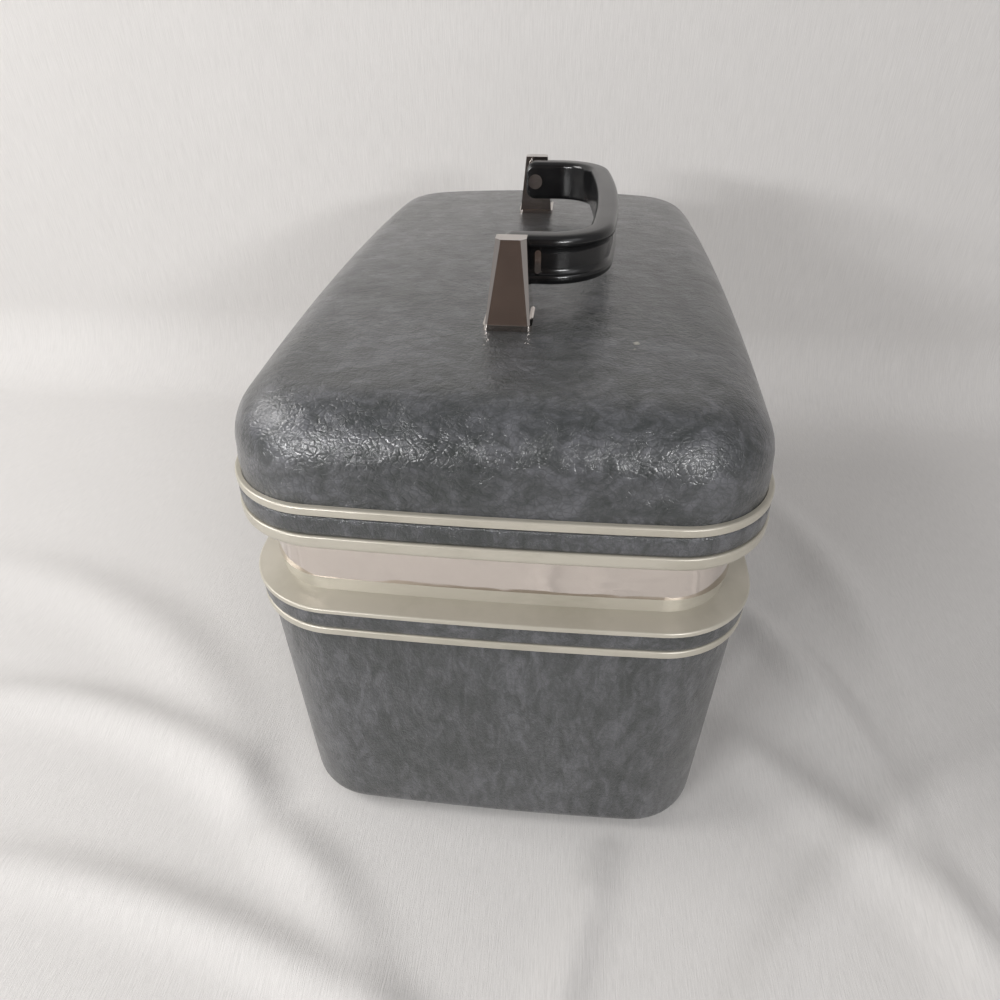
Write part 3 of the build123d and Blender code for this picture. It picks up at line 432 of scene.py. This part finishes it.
# ---------------------------------------------------------------- properties
def distance(name, description, millimetres, **limits):
    """A length that a user may change, kept in metres as Blender keeps them."""
    return FloatProperty(name=name, description=description, default=millimetres * MM, unit="LENGTH",
                         precision=5, **limits)


def hue(name, description, code):
    """A linear colour that a user may change."""
    return FloatVectorProperty(name=name, description=description, size=4, subtype="COLOR", min=0.0, max=1.0,
                               default=linear(code))


class VanityCaseSizes(bpy.types.PropertyGroup):
    """Sizes, the same as the frame's."""

    case_length: distance("Length", "Outside length over the rims", 370.0)
    case_width: distance("Width", "Outside width over the rims", 228.0)
    corner_radius: distance("Corner", "Radius of the rims' corners", 42.0)
    end_bow: distance("End bow", "How far the ends bulge", 3.0)
    side_bow: distance("Side bow", "How far the long sides bulge", 3.5)
    crown_across: distance("Crown across", "Radius of the lid's crown across the case", 1204.0)
    crown_along: distance("Crown along", "Radius of the lid's crown along the case", 3750.0)
    shell_inset: distance("Skin inset", "Skins' distance inside the rims", 3.15)
    shell_wall: distance("Skin wall", "Thickness of the shells", 2.3)
    lid_top: distance("Lid top", "Height of the lid's crown", 252.0)
    lid_low: distance("Lid edge", "Height of the lid skin's hidden edge", 199.65)
    lid_collar: distance("Lid collar", "Height where the lid starts to lean in", 214.5)
    lid_lean: distance("Lid lean", "How far the lid's wall leans in", 0.6)
    lid_rounding: distance("Lid rounding", "Radius of the lid's top edge", 24.0)
    tub_floor: distance("Tub floor", "Height of the tub's underside", 3.0)
    tub_bend: distance("Tub bend", "Height where the tub starts to lean in", 134.0)
    tub_top: distance("Tub edge", "Height of the tub skin's hidden edge", 148.85)
    tub_lean: distance("Tub lean", "How far the tub's wall leans in", 2.55)
    tub_rounding: distance("Tub rounding", "Radius of the tub's bottom edge", 10.0)
    band_bulge: distance("Band bulge", "How far the vinyl bands stand proud", 0.75, min=0.0, max=1.0 * MM)
    lining_inset: distance("Lining inset", "Linings' distance inside the rims", 7.25)
    lining_thickness: distance("Lining", "Thickness of the padded linings", 1.5)
    pucker: distance("Pucker", "Depth of the linings' quilting", 0.7, min=0.0)
    quilt_width: distance("Quilting", "Width of the linings' upright channels", 24.0, min=1.0 * MM)
    handle_span: distance("Handle arms", "Arms' distance from the case's middle", 78.4)
    handle_reach: distance("Handle reach", "How far the handle's bar is from its pivots", 41.5)
    handle_arch: distance("Handle arch", "How far the bar bulges between its bends", 6.0)
    handle_bend: distance("Handle bend", "Radius of the handle's two bends", 24.0)
    handle_level: distance("Handle level", "Height of the handle's pivots", 272.5)
    handle_height: distance("Handle height", "Height of the handle's section", 21.0)
    handle_thickness: distance("Handle thickness", "Thickness of the handle's section", 11.0)
    handle_samples: IntProperty(name="Handle steps", description="Stations along the handle", default=150,
                                min=40)


class VanityCaseColours(bpy.types.PropertyGroup):
    """The finishes' main colours, linear."""

    vinyl_dark: hue("Vinyl dark", "The print's dark patches", "262a2a")
    vinyl: hue("Vinyl", "The vinyl's main grey", "393b3d")
    vinyl_light: hue("Vinyl light", "The print's pale patches", "515256")
    rim: hue("Rim", "The rims' enamel", "b3aea2")
    lining: hue("Lining", "The lining cloth", "b9b2a2")
    backdrop: hue("Backdrop", "Floor and backdrop", "c9c7c5")


def in_millimetres(group):
    """The sizes in millimetres, rounded to clear the single precision in which properties are kept."""
    values = {name: getattr(group, name) for name in VanityCaseSizes.__annotations__}
    return SimpleNamespace(**{name: round(value / MM, 4) if isinstance(value, float) else value
                              for name, value in values.items()})


# ---------------------------------------------------------------- operators
class VANITY_OT_skins(bpy.types.Operator):
    """The lid's and the tub's grained vinyl skins.

    Rings of the outline at inset i lean in with height; the lid's edge follows
    z = crown(x, y) - (r - sqrt(r^2 - (r - d)^2)) at d inside the wall.
    """

    bl_idname = "vanity.skins"
    bl_label = "Vinyl skins"

    SCUFFS = ((-111.8, -53.8, 249.0, 4.5), (-118.0, -53.0, 249.0, 3.2))  # rubbed by whatever lay on the lid

    def execute(self, context):
        sizes, colours = in_millimetres(context.scene.vanity_sizes), context.scene.vanity_colours
        outline = Plan(sizes).loop(*SKIN_STEPS)
        inset, wall = sizes.shell_inset, sizes.shell_wall
        outer = domed_rings(*outline, inset, sizes.lid_low, sizes.lid_top, sizes.lid_rounding, sizes)
        inner = domed_rings(*outline, inset + wall, sizes.lid_low, sizes.lid_top - wall,
                            sizes.lid_rounding - wall, sizes)
        lid_vinyl = grained_vinyl("grained_vinyl_lid", colours, (8.0, 13.0, 11.0), self.SCUFFS)
        lid = double_skin("lid_skin", outer, inner, lid_vinyl)
        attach(lid, "lid")
        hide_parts("lid_shell")
        outer = tub_rings(*outline, inset, sizes.tub_floor, sizes.tub_top, sizes.tub_rounding, sizes)
        inner = tub_rings(*outline, inset + wall, sizes.tub_floor + wall, sizes.tub_top,
                          sizes.tub_rounding - wall, sizes)
        tub_vinyl = grained_vinyl("grained_vinyl_tub", colours, (6.0, 6.0, 15.0))
        tub = double_skin("tub_skin", outer, inner, tub_vinyl)
        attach(tub, "case")
        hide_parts("body_shell")
        return {"FINISHED"}


class VANITY_OT_bands(bpy.types.Operator):
    """The vinyl bands pressed into the rims' grooves.

    Across the band, with t from -1 to 1, the face stands b * (1 - t^6) proud of its two edges.
    """

    bl_idname = "vanity.bands"
    bl_label = "Vinyl bands"

    GROOVE = 1.6  # inset of the groove's bottom
    EDGE = 0.15  # thickness left at the band's edges
    SLACK = 0.1  # the back's play in the groove, above and below
    STEPS_ACROSS = 13

    def execute(self, context):
        sizes, colours = in_millimetres(context.scene.vanity_sizes), context.scene.vanity_colours
        outline = Plan(sizes).loop(*SKIN_STEPS)
        vinyl = grained_vinyl("grained_vinyl_band", colours, (7.0, 7.0, 9.0))
        across = np.linspace(-1, 1, self.STEPS_ACROSS)
        face = self.GROOVE - self.EDGE - sizes.band_bulge * (1 - across ** 6)
        insets = np.append([self.GROOVE, self.GROOVE], face)
        for name, node, body in (("body_band_strip", "body_band", "case"),
                                 ("lid_band_strip", "lid_band", "lid")):
            low, high = (corner.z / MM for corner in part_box(node))
            back = [high - self.SLACK, low + self.SLACK]
            heights = np.append(back, (low + high + across * (high - low)) / 2)
            strip = closed_ring(name, *outline, insets, heights, vinyl)
            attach(strip, body)
            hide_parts(node)
        return {"FINISHED"}


class VANITY_OT_linings(bpy.types.Operator):
    """Padded cloth linings of the tub and the lid, quilted in upright channels.

    At distance s round the wall the pad stands p * |sin(pi * s / w)|^0.6 proud, w being the channel's width.
    """

    bl_idname = "vanity.linings"
    bl_label = "Padded linings"

    FULLNESS = 0.6  # the power that makes the channels fuller than a sine
    OUTER_CUT = 4.1  # how much less the pads' outer rounding is than the skins'
    INNER_CUT = 5.5  # and their inner rounding
    FADE = 6.0  # height over which the quilting runs out
    TUB_PLAIN = (8, 3)  # height without quilting at the pad's bottom and top
    LID_PLAIN = (3, 16)

    def execute(self, context):
        sizes, colours = in_millimetres(context.scene.vanity_sizes), context.scene.vanity_colours
        outline = Plan(sizes).loop(*PAD_STEPS)
        cloth = woven_cloth("woven_lining_cloth", tuple(colours.lining), linear("9f9888"))
        along, whole = arc_length(outline[0])
        channels = round(whole / sizes.quilt_width)
        quilting = np.abs(np.sin(pi * along / whole * channels)) ** self.FULLNESS * sizes.pucker
        puff = outline[1] * quilting[:, None]
        outset, thick = sizes.lining_inset, sizes.lining_thickness
        inset = outset + thick - sizes.pucker
        low, high = (corner.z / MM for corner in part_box("body_lining"))
        outer = tub_rings(*outline, outset, low, high, sizes.tub_rounding - self.OUTER_CUT, sizes)
        inner = tub_rings(*outline, inset, low + thick, high, sizes.tub_rounding - self.INNER_CUT, sizes)
        self.swell(inner, puff, low + self.TUB_PLAIN[0], high - self.TUB_PLAIN[1])
        pad = double_skin("tub_lining_pad", outer, inner, cloth)
        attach(pad, "case")
        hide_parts("body_lining")
        low, high = (corner.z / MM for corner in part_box("lid_lining"))
        outer = domed_rings(*outline, outset, low, high, sizes.lid_rounding - self.OUTER_CUT, sizes)
        inner = domed_rings(*outline, inset, low, high - thick, sizes.lid_rounding - self.INNER_CUT, sizes)
        self.swell(inner, puff, low + self.LID_PLAIN[0], high - self.LID_PLAIN[1])
        pad = double_skin("lid_lining_pad", outer, inner, cloth)
        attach(pad, "lid")
        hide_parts("lid_lining")
        return {"FINISHED"}

    def swell(self, rows, puff, low, high):
        """Moves wall rings inwards by the quilting, fading out near its edges."""
        height = rows[..., 2:]
        shown = np.clip((height - low) / self.FADE, 0, 1) * np.clip((high - height) / self.FADE, 0, 1)
        rows[..., :2] += puff * shown


class VANITY_OT_handle(bpy.types.Operator):
    """The moulded handle: a rounded section with a channel in its outer face, carried along an arched path.

    Section: x = +-(T/2), z = +-(W/2) with corners of radius r. Path: arm, bend, arc of small rise, bend, arm.
    Within r of its end the half-height is h - r + sqrt(r^2 - (y - heel + r)^2), which rounds the heel.
    """

    bl_idname = "vanity.handle"
    bl_label = "Handle"

    HEEL = 5.5  # how far the arms run on past their pivots
    HEEL_ROUNDING = 5.2
    EDGE_ROUNDING = 3.0  # of the section's corners
    MOST_ROUNDING = (0.5, 0.6)  # its largest share of the half-height and of the half-thickness
    EDGE_STEPS = 7
    CHANNEL_DEPTH = 1.6
    CHANNEL_HALF = 6.0  # half the channel's height
    MOST_CHANNEL = 0.57  # its largest share of the half-height
    # The channel's profile: share of its depth, share of its half-height, and millimetres up from there.
    CHANNEL = np.array(((0, -1, -0.25), (0.25, -1, 0), (1, -1, 0.35), (1, -0.5, 0), (1, 0, 0), (1, 0.5, 0),
                        (1, 1, -0.35), (0.25, 1, 0), (0, 1, 0.25)))

    def execute(self, context):
        sizes = in_millimetres(context.scene.vanity_sizes)
        plastic = moulded_plastic("moulded_black_plastic", linear("0d0d0e"), 0.17, 0.012)
        path, outwards = self.path(sizes)
        past = np.maximum(path[:, 1] - self.HEEL + self.HEEL_ROUNDING, 0.0)
        fall = self.HEEL_ROUNDING - np.sqrt(np.maximum(self.HEEL_ROUNDING ** 2 - past ** 2, 0.0))
        out, up = self.section(sizes.handle_thickness / 2, sizes.handle_height / 2 - fall)
        plan = path[:, None] + outwards[:, None] * out[..., None]
        rows = np.dstack([plan, sizes.handle_level + up])
        faces = grid_faces(len(rows), rows.shape[1], capped=True)
        grip = outward(surface("handle_moulding", rows, faces, plastic))
        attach(grip, "handle")
        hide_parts("handle_grip")
        return {"FINISHED"}

    def section(self, thick, high):
        """How far out and up the section's points are, anticlockwise, for each half-height in high."""
        high = high[:, None]
        rounding = np.minimum(high * self.MOST_ROUNDING[0], thick * self.MOST_ROUNDING[1])
        rounding = np.minimum(rounding, self.EDGE_ROUNDING)
        angles = (np.linspace(0, pi / 2, self.EDGE_STEPS) + np.arange(4)[:, None] * (pi / 2)).ravel()
        right = np.repeat((1, -1, -1, 1), self.EDGE_STEPS)
        top = np.repeat((1, 1, -1, -1), self.EDGE_STEPS)
        out = right * (thick - rounding) + rounding * np.cos(angles)
        up = top * (high - rounding) + rounding * np.sin(angles)
        depth, share, lift = self.CHANNEL.T
        half = np.minimum(self.CHANNEL_HALF, high * self.MOST_CHANNEL)
        sunk = np.broadcast_to(thick - depth * self.CHANNEL_DEPTH, (len(high), len(depth)))
        return np.hstack([out, sunk]), np.hstack([up, share * half + lift])

    def path(self, sizes):
        """Plan points and outward normals from one arm's end to the other's."""
        span, bend = sizes.handle_span, sizes.handle_bend
        radius = (span ** 2 + sizes.handle_arch ** 2) / (2 * sizes.handle_arch)
        middle_y = radius - sizes.handle_reach
        centre_x = span - bend
        centre_y = middle_y - sqrt((radius - bend) ** 2 - centre_x ** 2)
        end = atan2(centre_y - middle_y, centre_x)
        start = self.HEEL - self.HEEL_ROUNDING
        heel = start + self.HEEL_ROUNDING * np.sin(np.linspace(pi / 2, 0, 9))
        arm = np.append(heel, np.linspace(start, centre_y, 9)[1:])
        corner = np.linspace(0, end, sizes.handle_samples // 4)[1:]
        bar = np.linspace(end, -pi / 2, sizes.handle_samples // 3)[1:]
        x = np.concatenate([np.full(len(arm), span), centre_x + bend * np.cos(corner), radius * np.cos(bar)])
        y = np.concatenate([arm, centre_y + bend * np.sin(corner), middle_y + radius * np.sin(bar)])
        angle = np.concatenate([np.zeros(len(arm)), corner, bar])
        right = np.column_stack([x, y, np.cos(angle), np.sin(angle)])
        whole = np.vstack([right, right[-2::-1] * (-1, 1, -1, 1)])
        return whole[:, :2], whole[:, 2:]


class VANITY_OT_metals(bpy.types.Operator):
    """Finishes for the frame's metal, plastic, glass and rubber pieces."""

    bl_idname = "vanity.metals"
    bl_label = "Finishes"

    def execute(self, context):
        rim = tuple(context.scene.vanity_colours.rim)
        dress(satin_enamel("satin_greige_enamel", rim, linear("8d8879")), "body_frame", "lid_frame")
        dress(polished_metal("polished_aluminium_band", linear("d8cfc8"), 0.05, 0.05, 0.6), "lid_valance")
        dress(polished_metal("polished_chrome_plate", linear("c6bfba"), 0.05, 0.04),
              *pairs("post_foot", "handle_tip", "handle_pin"))
        dress(polished_metal("nickel_plate", linear("c4bfb4"), 0.16, 0.12), "body_rivets", "lid_rivets",
              *pairs("hinge_body_leaf", "hinge_lid_leaf", "latch_bracket", "latch_hasp", "latch_striker"))
        dress(polished_metal("drawn_steel", linear("9b9a97"), 0.34, 0.15), "foot_nails", "handle_core",
              "post_screws", *pairs("post_backing", "hinge_pin", "latch_pin", "handle_washer"))
        dress(polished_metal("lacquered_brass", linear("b89b5e"), 0.2, 0.1), "lock_barrel", "lock_plug")
        dress(polished_metal("silvered_mirror_glass", linear("e9ecec"), 0.015), "mirror_glass")
        dress(moulded_plastic("moulded_tray_plastic", linear("b3ab99"), 0.42, 0.03), "tray")
        dress(moulded_plastic("moulded_frame_plastic", linear("8c8576"), 0.4, 0.03), "mirror_frame")
        dress(moulded_plastic("covered_board", linear("a39b89"), 0.7, 0.05),
              "tray_rail_front", "tray_rail_back")
        dress(moulded_plastic("moulded_black_rubber", linear("1b1b1c"), 0.62, 0.06),
              *[f"foot_{i}" for i in range(1, 5)])
        return {"FINISHED"}


class VANITY_OT_posts(bpy.types.Operator):
    """The handle's two posts, each with the short shelf that the arm rests on.

    With t from 0 at the foot to 1 at the top, a section is L0 + t (L1 - L0) long and W0 + t (W1 - W0) wide,
    and its two outer corners are cut off by B0 + t (B1 - B0).
    """

    bl_idname = "vanity.posts"
    bl_label = "Handle posts"

    INNER_X = 85.0  # the flat inner face, from the case's middle
    FOOT = (22.4, 19.0, 1.0)  # length, width and cut at the foot
    TOP = (8.5, 13.0, 2.4)  # and at the top
    SECTIONS = 9
    CORNERS = 6
    SHELF = (5.0, 8.0, 258.7, 261.7)  # reach inwards, width, underside and top
    SHELF_ROOT = 1.0  # how far the shelf runs into the post
    SHELF_FACES = ((0, 1, 2, 3), (4, 5, 6, 7), (0, 1, 5, 4), (1, 2, 6, 5), (2, 3, 7, 6), (3, 0, 4, 7))

    def execute(self, context):
        chrome = bpy.data.materials["polished_chrome_plate"]
        for side, place in ((-1, "left"), (1, "right")):
            name = f"handle_post_{place}"
            low, high = (corner.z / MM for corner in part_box(name))
            points = np.vstack([self.sections(low, high), self.shelf()]) * (side, 1, 1)
            faces = grid_faces(self.SECTIONS, self.CORNERS, capped=True)
            faces += (np.array(self.SHELF_FACES) + self.SECTIONS * self.CORNERS).tolist()
            post = outward(surface(f"{name}_loft", points, faces, chrome, False))
            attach(post, "lid")
            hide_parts(name)
        return {"FINISHED"}

    def sections(self, low, high):
        """The six corners of the right post's sections, foot to top."""
        t = np.linspace(0, 1, self.SECTIONS)[:, None]
        length, width, cut = (first + t * (last - first) for first, last in zip(self.FOOT, self.TOP))
        half, flat = width / 2, np.zeros_like(t)
        out = np.hstack([flat, length - cut, length, length, length - cut, flat])
        across = np.hstack([-half, -half, cut - half, half - cut, half, half])
        up = np.broadcast_to(low + t * (high - low), out.shape)
        return np.dstack([self.INNER_X + out, across, up]).reshape(-1, 3)

    def shelf(self):
        """The eight corners of the right post's shelf."""
        reach, width, under, over = self.SHELF
        root, tip, half = self.INNER_X + self.SHELF_ROOT, self.INNER_X - reach, width / 2
        plan = ((root, -half), (tip, -half), (tip, half), (root, half))
        return [(x, y, z) for z in (under, over) for x, y in plan]


class VANITY_OT_stage(bpy.types.Operator):
    """Pale floor that curves up into a backdrop, soft studio lights, and the camera above the near end."""

    bl_idname = "vanity.stage"
    bl_label = "Stage"

    FRONT, BACK, SIDE, RISE = -2400.0, 345.0, 2200.0, 1500.0  # the backdrop's reach each way
    BEND = 80.0  # radius of the turn from floor to wall
    NEAR_X, NEAR_Y = -520.0, 560.0  # edges of the finely divided floor round the case
    FLOOR_STEPS, TURN_STEPS, WALL_STEPS, SIDE_STEPS = 150, 16, 11, 225
    KEEP_X, KEEP_Y = 183.0, 112.0  # the case's place, kept free of folds
    CLEAR = 30.0  # from there, the way over which the folds rise
    FOLD_REACH = 170.0  # the way along a fold over which it runs out
    # x, y, turn in degrees, bow per millimetre, height and width of each fold in the cloth
    FOLDS = (
        (-150, 190, 68, 0.0016, 8.0, 15.0), (-60, 260, 60, 0.0012, 6.4, 22.0),
        (-250, 120, 75, 0.0008, 6.4, 12.0), (-255, -40, 165, 0.0010, 8.0, 10.0),
        (-280, -110, 150, 0.0012, 6.4, 13.0), (-60, -190, 25, 0.0014, 9.6, 14.0),
        (30, -240, 12, 0.0010, 8.0, 18.0), (-190, -210, 40, 0.0009, 6.4, 16.0),
    )
    # The plain card that the polished band and the posts mirror: x, then y and z from and to.
    CARD = (-950.0, (-330.0, 350.0), (-100.0, 1500.0))
    WORLD_STRENGTH = 0.43
    NEAR_EDGE = (-0.18, 0.0, 0.23)
    # name, place and target in metres, sides, watts and tint
    LIGHTS = (
        ("key_light", (-0.25, 1.3, 1.1), (0.0, 0.0, 0.1), (0.7, 0.7), 15.0, "fffdfb"),
        ("fill_light", (-1.0, -1.0, 1.2), (0.0, 0.0, 0.12), (0.8, 0.8), 3.0, "fbfbff"),
        ("left_strip", (-1.2, 0.75, 0.58), NEAR_EDGE, (0.6, 0.08), 11.0, "ffffff"),
        ("right_strip", (-1.2, -0.62, 0.58), NEAR_EDGE, (0.35, 0.08), 6.5, "ffffff"),
    )
    # The camera: sensor and lens in millimetres, place in metres, direction, and roll in degrees.
    SENSOR, LENS = 36.0, 25.64
    EYE = (-0.39137, -0.02713, 0.36785)
    FORWARD = (0.80746, 0.08692, -0.58350)
    ROLL = -0.352

    def execute(self, context):
        self.backdrop(tuple(context.scene.vanity_colours.backdrop))
        self.lights(context.scene)
        self.camera(context.scene)
        context.scene.view_settings.view_transform = "Standard"
        return {"FINISHED"}

    def backdrop(self, colour):
        """A cloth floor that turns up in an arc of radius R behind the case, and the card in front of it.

        Each fold lifts the floor by h * exp(-(d / w)^2), d being the distance from a line that bends with
        the square of the way along it; the lift fades out round the case.
        """
        turn = shares(self.TURN_STEPS) * pi / 2
        foot = self.BACK - self.BEND
        floor = np.append(self.FRONT, np.linspace(self.NEAR_X, foot, self.FLOOR_STEPS))
        wall = self.BEND + (self.RISE - self.BEND) * shares(self.WALL_STEPS)
        x = np.concatenate([floor, foot + self.BEND * np.sin(turn), np.full(len(wall), self.BACK)])
        z = np.concatenate([np.zeros(len(floor)), self.BEND * (1 - np.cos(turn)), wall])
        middle = np.linspace(-self.NEAR_Y, self.NEAR_Y, self.SIDE_STEPS)
        y = np.concatenate([[-self.SIDE], middle, [self.SIDE]])
        faces = grid_faces(len(x), len(y), closed=False)
        x, y = np.meshgrid(x, y, indexing="ij")
        z = z[:, None] + np.where(z[:, None] > 0, 0.0, self.folds(x, y))
        cloth = slubbed_sheeting("woven_backdrop_cloth", colour)
        sweep = surface("backdrop", np.dstack([x, y, z]), faces, cloth)
        brown = moulded_plastic("dark_card_board", linear("665a54"), 0.8, 0.0)
        card_x, (right, left), (low, high) = self.CARD
        corners = [(card_x, right, low), (card_x, left, low), (card_x, left, high), (card_x, right, high)]
        surface("dark_card", corners, [(0, 1, 2, 3)], brown, False)

    def folds(self, x, y):
        """How far the cloth's folds lift the floor at (x, y)."""
        lift = np.zeros_like(x)
        for x0, y0, turn, bow, high, wide in self.FOLDS:
            along = (x - x0) * cos(radians(turn)) + (y - y0) * sin(radians(turn))
            off = (y - y0) * cos(radians(turn)) - (x - x0) * sin(radians(turn)) - bow * along ** 2
            lift += high * np.exp(-(off / wide) ** 2 - (along / self.FOLD_REACH) ** 2)
        outside = np.maximum(np.abs(x) - self.KEEP_X, np.abs(y) - self.KEEP_Y)
        return lift * np.clip(outside / self.CLEAR, 0.0, 1.0)

    def lights(self, scene):
        """The world's even light and the area lamps of the table."""
        world = bpy.data.worlds.new("studio_air")
        scene.world = world
        world.use_nodes = True
        air = world.node_tree.nodes["Background"]
        air.inputs["Color"].default_value = linear("f0eeee")
        air.inputs["Strength"].default_value = self.WORLD_STRENGTH
        for name, place, target, sides, power, tint in self.LIGHTS:
            data = bpy.data.lights.new(name, "AREA")
            data.shape = "RECTANGLE"
            data.size, data.size_y = sides
            data.energy = power
            data.color = linear(tint)[:3]
            light = bpy.data.objects.new(name, data)
            light.location = place
            light.rotation_euler = (Vector(target) - Vector(place)).to_track_quat("-Z", "Y").to_euler()
            scene.collection.objects.link(light)

    def camera(self, scene):
        """The photograph's viewpoint, fitted to the case's outlines."""
        data = bpy.data.cameras.new("camera")
        data.sensor_width = self.SENSOR
        data.lens = self.LENS
        data.clip_end = 20.0
        eye = bpy.data.objects.new("camera", data)
        eye.location = self.EYE
        roll = Quaternion((0.0, 0.0, 1.0), radians(self.ROLL))
        eye.rotation_euler = (Vector(self.FORWARD).to_track_quat("-Z", "Y") @ roll).to_euler()
        scene.collection.objects.link(eye)
        scene.camera = eye


STEPS = (VANITY_OT_skins, VANITY_OT_bands, VANITY_OT_linings, VANITY_OT_handle, VANITY_OT_metals,
         VANITY_OT_posts, VANITY_OT_stage)


class VANITY_PT_case(bpy.types.Panel):
    """Lists the sizes, the colours and the steps."""

    bl_idname = "VANITY_PT_case"
    bl_label = "Vanity Case"
    bl_space_type = "VIEW_3D"
    bl_region_type = "UI"
    bl_category = "Vanity Case"

    def draw(self, context):
        for group in (context.scene.vanity_sizes, context.scene.vanity_colours):
            box = self.layout.box()
            for name in type(group).__annotations__:
                box.prop(group, name)
        for step in STEPS:
            self.layout.operator(step.bl_idname)


CLASSES = (VanityCaseSizes, VanityCaseColours, *STEPS, VANITY_PT_case)


def register():
    for item in CLASSES:
        bpy.utils.register_class(item)
    bpy.types.Scene.vanity_sizes = PointerProperty(type=VanityCaseSizes)
    bpy.types.Scene.vanity_colours = PointerProperty(type=VanityCaseColours)


def unregister():
    del bpy.types.Scene.vanity_colours
    del bpy.types.Scene.vanity_sizes
    for item in reversed(CLASSES):
        bpy.utils.unregister_class(item)


def main():
    register()
    bpy.ops.vanity.skins()
    bpy.ops.vanity.bands()
    bpy.ops.vanity.linings()
    bpy.ops.vanity.handle()
    bpy.ops.vanity.metals()
    bpy.ops.vanity.posts()
    bpy.ops.vanity.stage()


if __name__ == "__main__":
    main()
